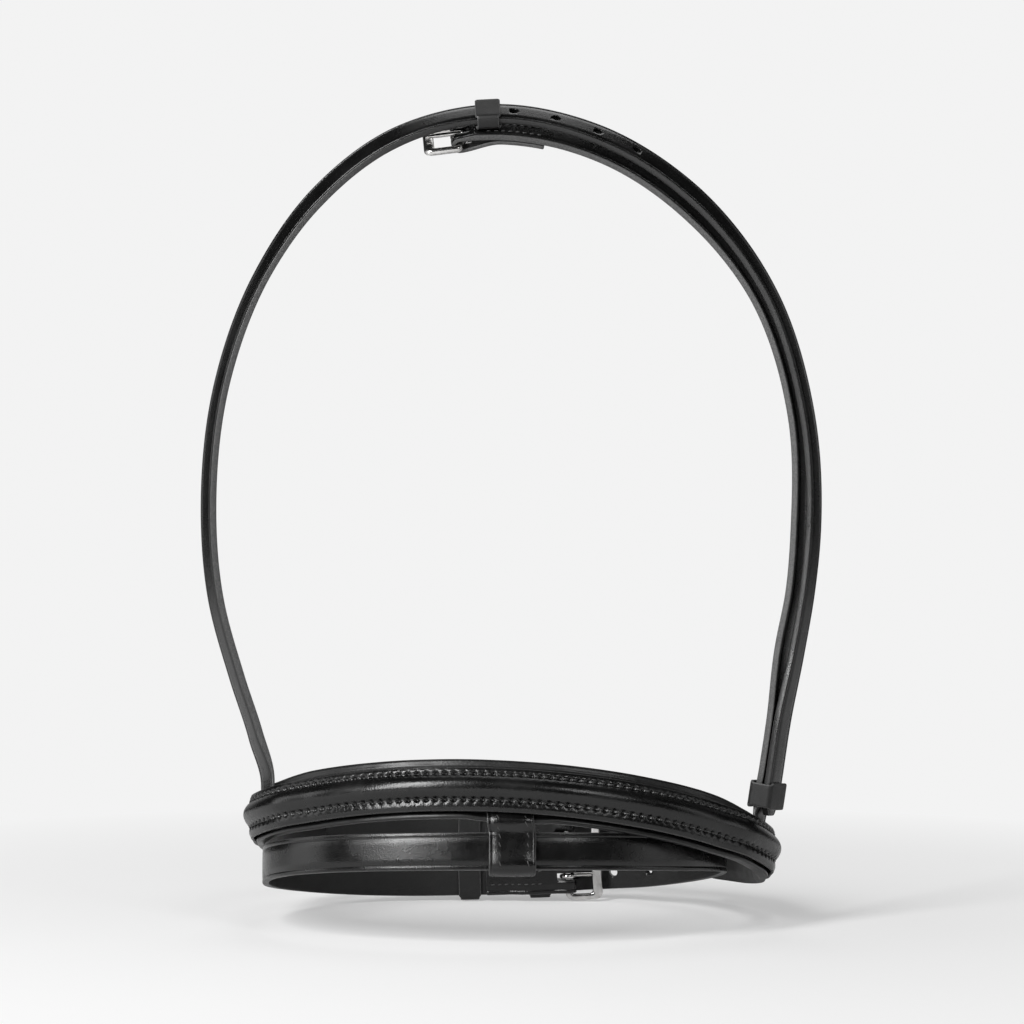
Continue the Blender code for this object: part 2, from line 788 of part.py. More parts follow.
def tail_marks(route, start, end):
    return (stations(route, start, end - POINT_LENGTH)
            + [end - POINT_LENGTH * (1 - share) for share in POINT_MARK_SHARES] + [end])


def billet_level(reach, leather_under):
    """How far a billet's inner face stands off the strap route, past and before a heel.

    reach is the distance from the heel toward the keepers, so the frame is below zero.
    """
    over_strap = leather_under + CLEARANCE
    frame_end = -FRAME_REACH
    return ramp(reach, (
        (frame_end - BILLET_RISE_LENGTH, 0.0), (frame_end + END_BAR, BILLET_OVER_FRAME),
        (FIXED_KEEPER_FROM_HEEL - FIXED_KEEPER_LENGTH, over_strap)))


def ring_heel(route, across):
    """The distance on a ring's rear at which its buckle's heel bar lies."""
    half = route.length / 2
    behind = world(across, 0, 0).x
    return route.nearest(lambda p: abs(p.x - behind) if p.y > 0 else half, -half / 2, half / 2)


# The chin straps

CHIN = Chape(NOSE, ring_heel(NOSE, CHIN_BUCKLE_ACROSS), CHIN_WIDTH, CHIN_LEATHER)


def build_chin_buckle_strap():
    sewn = BAND_START + CHIN_SEWN_LENGTH
    marks = stations(NOSE, CHIN.heel, sewn)
    rows = CHIN.return_path() + CHIN.fold_path()
    rows += [(NOSE.at(m).point, NOSE.at(m).across) for m in marks]
    path = frames_of(rows)
    lead = len(rows) - len(marks)

    def thickness(k):
        if k < lead:
            return CHAPE_LEATHER
        reach = marks[k - lead] - CHIN.heel
        full = (CHAPE_SKIVE, CHIN_LEATHER)
        thin = marks[-1] - CHIN.heel
        return ramp(reach, ((0.0, CHAPE_LEATHER), full,
                            (thin - 2 * CHIN_SEWN_LENGTH, CHIN_LEATHER),
                            (thin - CHIN_SEWN_LENGTH, CHIN_SEWN_LEATHER)))

    def lift(k):
        """The sewn end rises off the route to lie clear of the lining."""
        if k < lead:
            return 0.0
        thin = marks[-1] - CHIN.heel
        reach = marks[k - lead] - CHIN.heel
        return ramp(reach, ((thin - 3 * CHIN_SEWN_LENGTH, 0.0),
                            (thin - CHIN_SEWN_LENGTH, CHIN_SEWN_RISE)))

    obj = strap("chin_buckle_strap", path, [CHIN_WIDTH / 2] * len(path),
                lambda k, v: lift(k), lambda k, v: lift(k) + thickness(k))
    CHIN.cut_slot(obj)
    return obj


def build_chin_billet():
    first = BAND_END - CHIN_SEWN_LENGTH
    heel = CHIN.heel + NOSE.length
    last = heel + CHIN_TAIL_FROM_HEEL
    marks = tail_marks(NOSE, first, last)
    path = [NOSE.at(mark) for mark in marks]
    full = first + 2 * CHIN_SEWN_LENGTH

    def level(mark):
        if mark < full:
            return ramp(mark, ((first + CHIN_SEWN_LENGTH, CHIN_SEWN_RISE), (full, 0.0)))
        return billet_level(mark - heel, CHIN_LEATHER)

    def thickness(mark):
        return ramp(mark, ((first + CHIN_SEWN_LENGTH, CHIN_SEWN_LEATHER), (full, CHIN_LEATHER)))

    obj = strap("chin_billet_strap", path, point_widths(marks, CHIN_WIDTH / 2),
                lambda k, v: level(marks[k]), lambda k, v: level(marks[k]) + thickness(marks[k]))
    holes = [heel - FRAME_REACH - HOLE_PITCH * (i + 1 / 2) for i in range(CHIN_HOLES)]
    punch(obj, [lifted(NOSE, d, level(d)) for d in holes], CHIN_LEATHER)
    return obj


def lifted(route, distance, level):
    frame = route.at(distance)
    frame.point = frame.place(0, level)
    return frame


# The flash strap and its loop

FLASH_CHAPE = Chape(FLASH, ring_heel(FLASH, FLASH_BUCKLE_ACROSS), FLASH_WIDTH, FLASH_LEATHER)


def build_flash_strap():
    heel = FLASH_CHAPE.heel
    again = heel + FLASH.length
    marks = tail_marks(FLASH, heel, again + FLASH_TAIL_FROM_HEEL)
    levels = [billet_level(mark - again, FLASH_LEATHER) for mark in marks]
    rows = FLASH_CHAPE.return_path() + FLASH_CHAPE.fold_path()
    lead = len(rows)
    rows += [(lifted(FLASH, m, level).point, FLASH.at(m).across)
             for m, level in zip(marks, levels)]
    path = frames_of(rows)
    half = FLASH_WIDTH / 2
    widths = [half] * lead + point_widths(marks, half)

    def thickness(k):
        if k < lead:
            return CHAPE_LEATHER
        return ramp(marks[k - lead] - heel, ((0.0, CHAPE_LEATHER), (CHAPE_SKIVE, FLASH_LEATHER)))

    obj = strap("flash_strap", path, widths, lambda k, v: 0.0, lambda k, v: thickness(k))
    FLASH_CHAPE.cut_slot(obj)
    holes = [again - FRAME_REACH - HOLE_PITCH * (i + 1 / 4) for i in range(FLASH_HOLES)]
    punch(obj, [lifted(FLASH, d, billet_level(d - again, FLASH_LEATHER)) for d in holes],
          FLASH_LEATHER)
    return obj


def loop_rows():
    """The loop's middle line: from under the band, round the flash strap and up behind it."""
    front = NOSE.at(NOSE_FRONT)
    held = FLASH.at(FLASH.nearest(lambda p: p.y + abs(p.x)))
    half = FLASH_WIDTH / 2
    room = LOOP_FIT + LOOP_LEATHER / 2
    outside = FLASH_LEATHER + room
    low = -half - room
    roll = LINING_WIDTH / 2 * ROLL_SHARES[1] + LINING_DROP
    near, far = LOOP_BEND_SHARES
    from_band = [
        front.place(-BAND_WIDTH / 2 + LOOP_TUCK, -LOOP_SINK),
        front.place(-BAND_WIDTH / 2 - LOOP_TUCK, -LOOP_SINK * near),
        front.place(-roll, LINING_ROLL + LOOP_ROLL_ROOM),
    ]
    round_strap = [
        held.place(half, outside), held.place(0, outside), held.place(-half, outside),
        held.place(low * far, FLASH_LEATHER * far), held.place(low, FLASH_LEATHER / 2),
        held.place(low * far, FLASH_LEATHER * (1 - far)), held.place(-half, -room),
        held.place(0, -room), held.place(half, -room),
    ]
    return ([(point, front.along) for point in from_band]
            + [(point, held.along) for point in round_strap])


def flash_pivot():
    """Where the loop is sewn in under the band, which the flash strap hangs from."""
    return NOSE.at(NOSE_FRONT).place(-BAND_WIDTH / 2 + LOOP_TUCK, -LOOP_SINK)


def build_flash_loop():
    rows = loop_rows()
    route = Route(rows)
    marks = sorted(set([route.knot(i) for i in range(len(rows) - 1)]
                       + [(route.knot(i) + route.knot(i + 1)) / 2 for i in range(len(rows) - 1)]
                       + [route.length]))
    path = [route.at(mark) for mark in marks]

    def thick(k):
        return ramp(marks[k], ((route.knot(2), LOOP_TIP), (route.knot(3), LOOP_LEATHER)))

    obj = strap("flash_loop", path, [LOOP_WIDTH / 2] * len(path),
                lambda k, v: -thick(k) / 2, lambda k, v: thick(k) / 2, edge=0)
    return obj


# The headpiece

SHORT_CHAPE = Chape(SHORT, SHORT.knot(1), HEADPIECE_WIDTH, HEADPIECE_LEATHER, False)


def build_headpiece_buckle_strap():
    end = SHORT.length
    thin = ((end - LINING_WIDTH / 2, HEADPIECE_LEATHER),
            (end - HEADPIECE_SEWN_DEPTH - CLEARANCE, HEADPIECE_SEWN_LEATHER))
    marks = stations(SHORT, SHORT_CHAPE.heel, end, [mark for mark, level in thin])
    rows = SHORT_CHAPE.return_path() + SHORT_CHAPE.fold_path()
    lead = len(rows)
    rows += [(SHORT.at(m).point, SHORT.at(m).across) for m in marks]
    path = frames_of(rows)

    def thickness(k):
        if k < lead:
            return CHAPE_LEATHER
        full = (SHORT_CHAPE.heel + CHAPE_SKIVE, HEADPIECE_LEATHER)
        return ramp(marks[k - lead], ((SHORT_CHAPE.heel, CHAPE_LEATHER), full) + thin)

    obj = strap("headpiece_buckle_strap", path, [HEADPIECE_WIDTH / 2] * len(path),
                lambda k, v: 0.0, lambda k, v: thickness(k))
    SHORT_CHAPE.cut_slot(obj)
    return obj


def runner_distance():
    """Where the running keeper sits on the long strap, and the way that it can slide."""
    return LONG.length - LONG_TAIL - RUNNER_LENGTH / 2


def build_headpiece_long_strap():
    marks = tail_marks(LONG, 0.0, LONG.length)
    path = [LONG.at(mark) for mark in marks]

    def thickness(k):
        return ramp(marks[k], ((HEADPIECE_SEWN_DEPTH, HEADPIECE_SEWN_LEATHER),
                               (HEADPIECE_SKIVE, HEADPIECE_LEATHER)))

    obj = strap("headpiece_long_strap", path, point_widths(marks, HEADPIECE_WIDTH / 2),
                lambda k, v: 0.0, lambda k, v: thickness(k))
    first = keeper_on_long() + FIXED_KEEPER_LENGTH
    holes = [first + HOLE_PITCH * i for i in range(HEADPIECE_HOLES)]
    punch(obj, [LONG.at(d) for d in holes], HEADPIECE_LEATHER)
    return obj


def keeper_on_long():
    """The place on the long strap that lies over the short strap's fixed keeper seat."""
    seat = SHORT.at(SHORT_CHAPE.heel + FIXED_KEEPER_FROM_HEEL).point
    return LONG.nearest(lambda p: (p - seat).length)


# Buckle frames, tongues and keepers


def rounded_rectangle(curve, low, high, corner, grow, hole=False):
    """Adds a rounded rectangle to a 2D curve, drawn larger by grow on every side."""
    low = (low[0] - grow, low[1] - grow)
    high = (high[0] + grow, high[1] + grow)
    corner += grow
    centres = ((high[0] - corner, high[1] - corner), (low[0] + corner, high[1] - corner),
               (low[0] + corner, low[1] + corner), (high[0] - corner, low[1] + corner))
    points = []
    for quarter, (x, y) in enumerate(centres):
        for step in range(CORNER_STEPS + 1):
            angle = math.pi / 2 * (quarter + step / CORNER_STEPS)
            points.append((x + corner * math.cos(angle), y + corner * math.sin(angle)))
    spline = curve.splines.new("POLY")
    spline.points.add(len(points) - 1)
    for point, (x, y) in zip(spline.points, points[::-1] if hole else points):
        point.co = (x, y, 0, 1)
    spline.use_cyclic_u = True


def flat_ring(name, outer, inner, depth, edge, mat):
    """A flat ring between two rounded rectangles, each (low corner, high corner, radius)."""
    curve = bpy.data.curves.new(name, "CURVE")
    curve.dimensions = "2D"
    curve.fill_mode = "BOTH"
    curve.extrude = depth / 2 - edge
    curve.bevel_depth = edge
    curve.bevel_resolution = 0
    rounded_rectangle(curve, *outer, -edge)
    rounded_rectangle(curve, *inner, edge, hole=True)
    obj = add_object(name, curve, mat)
    add_weld(obj)
    return obj


def build_frame(name, chape):
    half_hole = chape.width / 2 + FRAME_STRAP_ROOM
    half = half_hole + SIDE_BAR
    outer = ((-HEEL_BAR / 2, -half), (FRAME_REACH, half), FRAME_CORNER)
    inner = ((HEEL_BAR / 2, -half_hole), (FRAME_REACH - END_BAR, half_hole), FRAME_INNER_CORNER)
    obj = flat_ring(name, outer, inner, FRAME_THICKNESS, FRAME_EDGE_ROUND, steel(name))
    obj.matrix_world = chape.matrix()
    return obj


def build_tongue(name, chape):
    """A wire tongue: a coil round the heel bar, then a straight shank onto the end bar."""
    coil = HEEL_BAR / 2 + TONGUE_FIT + TONGUE_WIRE / 2
    coil = max(coil, FRAME_THICKNESS / 2 + CLEARANCE + TONGUE_WIRE / 2)
    points = []
    for step in range(COIL_STEPS + 1):
        angle = math.pi / 2 + TONGUE_COIL_TURN * (1 - step / COIL_STEPS)
        points.append((coil * math.cos(angle), 0, coil * math.sin(angle)))
    tip = FRAME_REACH - END_BAR / 4
    for share in SHANK_SHARES:
        points.append((tip * share, 0, coil))
    curve = bpy.data.curves.new(name, "CURVE")
    curve.dimensions = "3D"
    curve.bevel_depth = TONGUE_WIRE / 2
    curve.bevel_resolution = 2
    curve.use_fill_caps = True
    curve.twist_mode = "MINIMUM"
    spline = curve.splines.new("POLY")
    spline.points.add(len(points) - 1)
    for i, (point, place) in enumerate(zip(spline.points, points)):
        point.co = (*place, 1)
    for i, share in enumerate(TIP_RADIUS_SHARES):
        spline.points[i - len(TIP_RADIUS_SHARES)].radius = share
    obj = add_object(name, curve, steel(name))
    add_weld(obj)
    obj.matrix_world = chape.matrix()
    return obj


def build_keeper(name, route, distance, width, low, high, length):
    """A leather ring round the strap, whose opening runs from level low to level high."""
    frame = route.at(distance)
    half = width / 2 + KEEPER_FIT
    wall = KEEPER_LEATHER
    inner = ((-half, low), (half, high), KEEPER_CORNER / 2)
    outer = ((-half - wall, low - wall), (half + wall, high + wall), KEEPER_CORNER + wall / 2)
    obj = flat_ring(name, outer, inner, length, EDGE_ROUND, leather(name))
    turn = Matrix((frame.across, frame.out, frame.along)).transposed().to_4x4()
    obj.matrix_world = Matrix.Translation(frame.point) @ turn
    return obj


def build_ring_keepers(name, chape):
    """The fixed and running keepers beside a rear buckle. Returns the fixed one."""
    stack = 2 * chape.leather + CLEARANCE + KEEPER_FIT
    fixed = build_keeper(
        name + "_fixed_keeper", chape.route, chape.heel + FIXED_KEEPER_FROM_HEEL, chape.width,
        -CLEARANCE, stack, FIXED_KEEPER_LENGTH)
    build_keeper(
        name + "_running_keeper", chape.route, chape.heel + RUNNING_KEEPER_FROM_HEEL,
        chape.width, -KEEPER_FIT, stack, RUNNING_KEEPER_LENGTH)
    return fixed


def build_headpiece_keepers():
    build_keeper("headpiece_fixed_keeper", LONG, keeper_on_long(), HEADPIECE_WIDTH,
                 -KEEPER_FIT, HEADPIECE_LEATHER + KEEPER_FIT, FIXED_KEEPER_LENGTH)
    under = LONG_RUN_OUT - HEADPIECE_SEAM_GAP
    build_keeper("headpiece_running_keeper", LONG, runner_distance(), HEADPIECE_WIDTH + 2 * CLEARANCE,
                 -under - 2 * KEEPER_FIT, HEADPIECE_LEATHER + KEEPER_FIT, RUNNER_LENGTH)


def build_buckles():
    for name, chape in (("chin", CHIN), ("flash", FLASH_CHAPE), ("headpiece", SHORT_CHAPE)):
        build_frame(name + "_buckle_frame", chape)
        build_tongue(name + "_buckle_tongue", chape)


def build():
    clear_scene()
    build_lining()
    build_foam()
    build_core()
    build_band()
    build_chin_buckle_strap()
    build_chin_billet()
    build_ring_keepers("chin", CHIN)
    flash = [build_flash_strap(), build_flash_loop(), build_ring_keepers("flash", FLASH_CHAPE)]
    add_pivot("flash_swing", flash_pivot(), flash)
    build_headpiece_buckle_strap()
    build_headpiece_long_strap()
    build_headpiece_keepers()
    build_buckles()


build()
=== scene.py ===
"""Looks for a bridle noseband: black leather, padding, stitching and polished buckles.

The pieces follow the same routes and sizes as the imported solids, in metres, +Z up, with
finer sections. Seen from the front, +X is to the right and +Y goes away.
"""
import bisect
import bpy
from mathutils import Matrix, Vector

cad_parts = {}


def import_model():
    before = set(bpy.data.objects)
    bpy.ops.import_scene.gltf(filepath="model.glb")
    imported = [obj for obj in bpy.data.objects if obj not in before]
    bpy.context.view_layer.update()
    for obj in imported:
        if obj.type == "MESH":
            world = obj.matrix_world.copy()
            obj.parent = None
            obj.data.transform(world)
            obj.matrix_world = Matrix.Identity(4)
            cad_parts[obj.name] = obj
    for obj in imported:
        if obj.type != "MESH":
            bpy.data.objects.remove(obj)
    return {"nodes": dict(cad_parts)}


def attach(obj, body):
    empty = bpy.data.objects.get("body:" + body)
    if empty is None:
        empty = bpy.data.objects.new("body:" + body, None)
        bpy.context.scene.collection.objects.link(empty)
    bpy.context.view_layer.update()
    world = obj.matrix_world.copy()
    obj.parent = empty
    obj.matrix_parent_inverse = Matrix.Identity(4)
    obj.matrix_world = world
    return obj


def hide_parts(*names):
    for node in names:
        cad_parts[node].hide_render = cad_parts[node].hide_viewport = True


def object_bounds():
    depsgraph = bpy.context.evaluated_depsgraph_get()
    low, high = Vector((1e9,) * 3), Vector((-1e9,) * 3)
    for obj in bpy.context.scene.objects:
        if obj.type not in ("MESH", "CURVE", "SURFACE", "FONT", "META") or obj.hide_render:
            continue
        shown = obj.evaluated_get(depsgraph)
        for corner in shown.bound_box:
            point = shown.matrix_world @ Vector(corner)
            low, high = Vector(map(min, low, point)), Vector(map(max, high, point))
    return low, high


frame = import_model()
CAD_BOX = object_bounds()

import copy
import math
import random

import bmesh
import bpy
from mathutils import Matrix, Vector, noise

# Sizes and routes of the solids, as the part's source has them
CLEARANCE = 0.0003
KEEPER_FIT = 0.0005
HEEL_FIT = 0.00055
EDGE_ROUND = 0.0005
OVERRUN = 0.004
STATION_SPACING = 0.0018
NEAR_SHARE = 0.3
ROUTE_STEPS = 48
SEARCH_STEPS = 2000
FOLD_STEPS = 20
POLL_HEIGHT = 0.3528
POLL_SETBACK = -0.026
RING_SHARES = (
    (0.0, -1.0), (0.293, -0.969), (0.533, -0.877), (0.730, -0.730), (0.877, -0.533),
    (0.969, -0.293), (1.0, 0.0), (0.972, 0.300), (0.885, 0.560), (0.750, 0.775),
    (0.580, 0.925), (0.400, 0.995), (0.270, 1.0), (0.130, 1.0), (0.0, 1.0),
)
FLASH_RIGHT_SHARES = (
    (0.0, -1.0), (0.235, -0.962), (0.425, -0.850), (0.590, -0.675), (0.725, -0.480),
    (0.820, -0.250), (0.860, 0.0), (0.845, 0.300), (0.780, 0.560), (0.680, 0.775),
    (0.540, 0.925), (0.385, 0.995), (0.265, 1.0), (0.130, 1.0), (0.0, 1.0),
)
NOSE_HALF_WIDTH = 0.1155
NOSE_HALF_DEPTH = 0.0835
NOSE_MIDDLE = (0.0, 0.0035, 0.0509)
NOSE_RISES = (0.0178, 0.00645, 0.01085, 0, 0.0026)
NOSE_FRONT_LEAN = math.radians(18)
BAND_WIDTH = 0.021
BAND_LEATHER = 0.0022
BAND_FRONT_GAP = 0.0005
BAND_SEWN_GAP = 0.0029
BAND_RAMP = 0.020
BAND_END_ANGLE = math.radians(128)
BEAD_WIDTH = 0.0100
BEAD_RISE = 0.0027
LINING_WIDTH = 0.0266
LINING_SIDE_WIDTH = 0.0245
LINING_DEPTH = 0.0062
LINING_LEATHER = 0.0013
LINING_ROLL = 0.0001
LINING_ROLL_SINK = 0.0007
LINING_GROOVE = 0.0019
LINING_EDGE_SINK = 0.0015
LINING_DROP = 0.0007
LINING_SIDE_DROP = 0.00085
TAPER_START_ANGLE = math.radians(45)
TAPER_END_ANGLE = math.radians(62)
LINING_END_ANGLE = math.radians(132)
FOAM_WIDTH = 0.0150
END_ROUNDING = 0.009
END_SHARE = 0.45
BEAD_FULLNESS_SHARE = 0.8
WALL_SHARE = 0.02
GROOVE_SHARES = (0.60, 0.80)
ROLL_SHARES = (0.85, 0.94)
LINING_SHARES = (1.0, 0.90, 0.88, 0.86, 0.76, 0.68, 0.57, 0.42)
HEEL_BAR = 0.0028
SIDE_BAR = 0.0030
END_BAR = 0.0048
FRAME_REACH = 0.0162
FRAME_THICKNESS = 0.0028
FRAME_STRAP_ROOM = 0.0006
FRAME_CORNER = 0.0034
FRAME_INNER_CORNER = 0.0012
TONGUE_WIRE = 0.0021
TONGUE_FIT = 0.00055
TONGUE_SLOT_ROOM = 0.0007
TONGUE_COIL_TURN = math.radians(235)
CHAPE_LEATHER = 0.0018
CHAPE_SKIVE = 0.009
CHAPE_RETURN = 0.039
SLOT_REACH = 0.0052
KEEPER_LEATHER = 0.0016
KEEPER_CORNER = 0.0012
FIXED_KEEPER_LENGTH = 0.0112
FIXED_KEEPER_FROM_HEEL = 0.0136
RUNNING_KEEPER_LENGTH = 0.0106
RUNNING_KEEPER_FROM_HEEL = 0.0470
BILLET_OVER_FRAME = 0.0052
BILLET_RISE_LENGTH = 0.030
POINT_LENGTH = 0.009
POINT_FULLNESS = 0.7
HOLE_DIAMETER = 0.0040
HOLE_PITCH = 0.0190
CHIN_WIDTH = 0.018
CHIN_LEATHER = 0.0028
CHIN_BUCKLE_ACROSS = 0.0262
CHIN_SEWN_LENGTH = 0.018
CHIN_SEWN_LEATHER = 0.0014
CHIN_SEWN_RISE = 0.0007
CHIN_TAIL_FROM_HEEL = 0.066
CHIN_HOLES = 4
CHIN_HOLE_START = 1 / 2
FLASH_WIDTH = 0.016
FLASH_LEATHER = 0.0030
FLASH_HALF_WIDTH = 0.1095
FLASH_HALF_DEPTH = 0.0748
FLASH_MIDDLE = (0.0, -0.0072, 0.0273)
FLASH_RISES = (0.0149, -0.0034, -0.0026, 0.0030, 0)
FLASH_FRONT_LEAN = math.radians(11)
FLASH_BUCKLE_ACROSS = 0.0267
FLASH_TAIL_FROM_HEEL = 0.092
FLASH_HOLES = 5
FLASH_HOLE_START = 1 / 4
LOOP_WIDTH = 0.0200
LOOP_LEATHER = 0.0018
LOOP_TUCK = 0.0005
LOOP_SINK = 0.00065
LOOP_TIP = 0.0010
LOOP_FIT = 0.0009
LOOP_ROLL_ROOM = 0.0014
LOOP_BEND_SHARES = (0.6, 0.97)
HEADPIECE_WIDTH = 0.0130
HEADPIECE_LEATHER = 0.0030
HEADPIECE_HALF_WIDTH = 0.1350
HEADPIECE_HEIGHT = 0.3634
HEADPIECE_LEANS = ((0.75, math.radians(26)), (0.97, math.radians(38)))
HEADPIECE_SEWN_DEPTH = 0.007
HEADPIECE_SEWN_LEATHER = 0.0013
HEADPIECE_SEAM_GAP = 0.0008
HEADPIECE_SKIVE = 0.030
HEADPIECE_HOLES = 4
LEFT_SEAT_ANGLE = math.radians(-65)
RIGHT_SEAT_ANGLE = math.radians(66.5)
LONG_STRAP_SHARES = (
    (-0.836, 0.242), (-0.897, 0.312), (-0.968, 0.410), (-0.991, 0.529), (-0.944, 0.676),
    (-0.815, 0.804), (-0.640, 0.8965), (-0.385, 0.9695), (-0.073, 0.9990), (0.290, 0.9725),
    (0.6005, 0.898), (0.8345, 0.786), (0.961, 0.639), (0.984, 0.493), (0.9645, 0.419),
    (0.931, 0.346),
)
BUCKLE_STRAP_SHARES = (
    (-0.312, 0.9660), (-0.176, 0.9768), (-0.085, 0.9790), (0.050, 0.9762), (0.290, 0.952),
    (0.601, 0.873), (0.7965, 0.780), (0.925, 0.633), (0.935, 0.493), (0.919, 0.419),
    (0.8815, 0.346),
)
RUN_LENGTH = 0.038
RUN_SLOPE = 0.15
RUNNER_LENGTH = 0.0120
LONG_END_ABOVE_BAND = 0.0012
LONG_TAIL = 0.0028


def world(across, depth, height):
    """A point from the middle plane, the nosepiece's middle and the lowest point."""
    return Vector((across, depth - POLL_SETBACK, height - POLL_HEIGHT))


def axes_matrix(point, x, y, z):
    return Matrix.Translation(point) @ Matrix((x, y, z)).transposed().to_4x4()


class Frame:
    """A point on a route, with its directions along, across and out of the strap."""

    def __init__(self, point, along, across):
        self.point = point
        self.along = along.normalized()
        self.across = (across - self.along * across.dot(self.along)).normalized()
        self.out = self.along.cross(self.across)

    def place(self, across, out):
        return self.point + self.across * across + self.out * out

    def moved(self, across, out):
        """The same directions at a point beside this one."""
        beside = copy.copy(self)
        beside.point = self.place(across, out)
        return beside


class Route:
    """A smooth line through rows of (point, width direction), read by distance.

    Layers that lie on one route share its pitch, so that their facets run together.
    """

    def __init__(self, rows, closed=False):
        self.closed = closed
        self.points, self.widths, self.knots = [], [], [0]
        rows = rows + rows[:closed]
        for i, ((p, w), (q, v)) in enumerate(zip(rows, rows[1:])):
            chord = (q - p).length
            a, b = self.tangent(rows, i) * chord, self.tangent(rows, i + 1) * chord
            for step in range(ROUTE_STEPS):
                t = step / ROUTE_STEPS
                self.points.append(hermite(p, q, a, b, t))
                self.widths.append(w.lerp(v, t))
            self.knots.append(len(self.points))
        self.points.append(rows[-1][0].copy())
        self.widths.append(rows[-1][1].copy())
        self.distances = [0.0]
        for p, q in zip(self.points, self.points[1:]):
            self.distances.append(self.distances[-1] + (q - p).length)
        self.length = self.distances[-1]
        self.pitch = self.length / round(self.length / STATION_SPACING)

    def around(self, items, i):
        """The items before and after item i. A closed line's last item is its first."""
        last = len(items) - 1
        if self.closed:
            i %= last
            return items[i - 1 if i else last - 1], items[i + 1]
        return items[max(i - 1, 0)], items[min(i + 1, last)]

    def tangent(self, rows, i):
        (p, _), (q, _) = self.around(rows, i)
        before, after = rows[i][0] - p, q - rows[i][0]
        d, e = before.length, after.length
        if not d or not e:
            return (before + after).normalized()
        return (before * (e / d) + after * (d / e)) / (d + e)

    def knot(self, i):
        """The distance at which row i lies."""
        return self.distances[self.knots[i]]

    def slope(self, i):
        before, after = self.around(self.points, i)
        return (after - before).normalized()

    def at(self, distance):
        if self.closed:
            distance %= self.length
        distance = min(max(distance, 0.0), self.length)
        i = min(bisect.bisect_right(self.distances, distance), len(self.distances) - 1) - 1
        start, end = self.distances[i:i + 2]
        t = (distance - start) / (end - start)
        return Frame(self.points[i].lerp(self.points[i + 1], t),
                     self.slope(i).lerp(self.slope(i + 1), t),
                     self.widths[i].lerp(self.widths[i + 1], t))

    def nearest(self, test, start=0.0, end=None):
        """The distance at which test(point) is smallest, between start and end."""
        end = self.length if end is None else end
        picks = [start + (end - start) * i / SEARCH_STEPS for i in range(SEARCH_STEPS + 1)]
        return min(picks, key=lambda d: test(self.at(d).point))


def hermite(p, q, a, b, t):
    return (p * (2 * t**3 - 3 * t**2 + 1) + a * (t**3 - 2 * t**2 + t)
            + q * (3 * t**2 - 2 * t**3) + b * (t**3 - t**2))


def smooth(t):
    t = min(max(t, 0.0), 1.0)
    return t * t * (3 - 2 * t)


def ramp(value, table):
    """Reads a table of (place, level) rows, easing from one row to the next."""
    if value <= table[0][0]:
        return table[0][1]
    for (a, low), (b, high) in zip(table, table[1:]):
        if value <= b:
            return low + (high - low) * smooth((value - a) / (b - a))
    return table[-1][1]


def ramps(marks, *table):
    """The table's level at each mark."""
    return [ramp(mark, table) for mark in marks]


def table_at(value, table):
    """Reads a table of (place, level) rows in straight lines."""
    for (a, low), (b, high) in zip(table, table[1:]):
        if value <= b:
            return low + (high - low) * (value - a) / (b - a)
    return table[-1][1]


def stations(route, start, end, knots=()):
    """The route's whole pitches between two distances, with the two ends and any knots."""
    fixed = sorted([start, end, *knots])
    marks = []
    for a, b in zip(fixed, fixed[1:]):
        first = math.ceil(a / route.pitch + NEAR_SHARE)
        last = math.floor(b / route.pitch - NEAR_SHARE)
        marks += [a] + [route.pitch * i for i in range(first, last + 1)]
    return marks + [end]


def ring_rows(half_width, half_depth, middle, rises, lean, right=RING_SHARES):
    """Rows round a ring, anticlockwise from above, starting at the rear."""
    across_mid, depth_mid, height_mid = middle
    front_rise, left_rise, side_drop, twist, right_drop = rises
    left = [(-x, y) for x, y in reversed(RING_SHARES)]
    rows = []
    for x, y in left + list(right[1:-1]):
        height = height_mid - front_rise * y - left_rise * x - side_drop * x * x
        height -= twist * x * max(0.0, -y) + right_drop * max(0.0, x) ** 8
        tip = lean * max(0.0, -y) ** 1.5
        inward = Vector((-x, -y, 0)).normalized()
        width = Vector((0, 0, 1)) * math.cos(tip) + inward * math.sin(tip)
        point = world(across_mid + x * half_width, depth_mid + y * half_depth, height)
        rows.append((point, width))
    return rows


NOSE = Route(ring_rows(NOSE_HALF_WIDTH, NOSE_HALF_DEPTH, NOSE_MIDDLE, NOSE_RISES,
                       NOSE_FRONT_LEAN), closed=True)
FLASH = Route(ring_rows(FLASH_HALF_WIDTH, FLASH_HALF_DEPTH, FLASH_MIDDLE, FLASH_RISES,
                        FLASH_FRONT_LEAN, FLASH_RIGHT_SHARES), closed=True)


def nose_at_angle(angle):
    """Distance round the nosepiece at a plan angle, from the front and to the right."""
    def off(point):
        across = point.x / NOSE_HALF_WIDTH
        depth = (point.y + POLL_SETBACK - NOSE_MIDDLE[1]) / NOSE_HALF_DEPTH
        return abs(math.remainder(math.atan2(across, -depth) - angle, math.tau))
    return NOSE.nearest(off)


NOSE_FRONT = nose_at_angle(0)
BAND_START, BAND_END = nose_at_angle(-BAND_END_ANGLE), nose_at_angle(BAND_END_ANGLE)
LINING_START, LINING_END = nose_at_angle(-LINING_END_ANGLE), nose_at_angle(LINING_END_ANGLE)
TAPER_START, TAPER_END = nose_at_angle(TAPER_START_ANGLE), nose_at_angle(TAPER_END_ANGLE)
LEFT_SEAT, RIGHT_SEAT = nose_at_angle(LEFT_SEAT_ANGLE), nose_at_angle(RIGHT_SEAT_ANGLE)


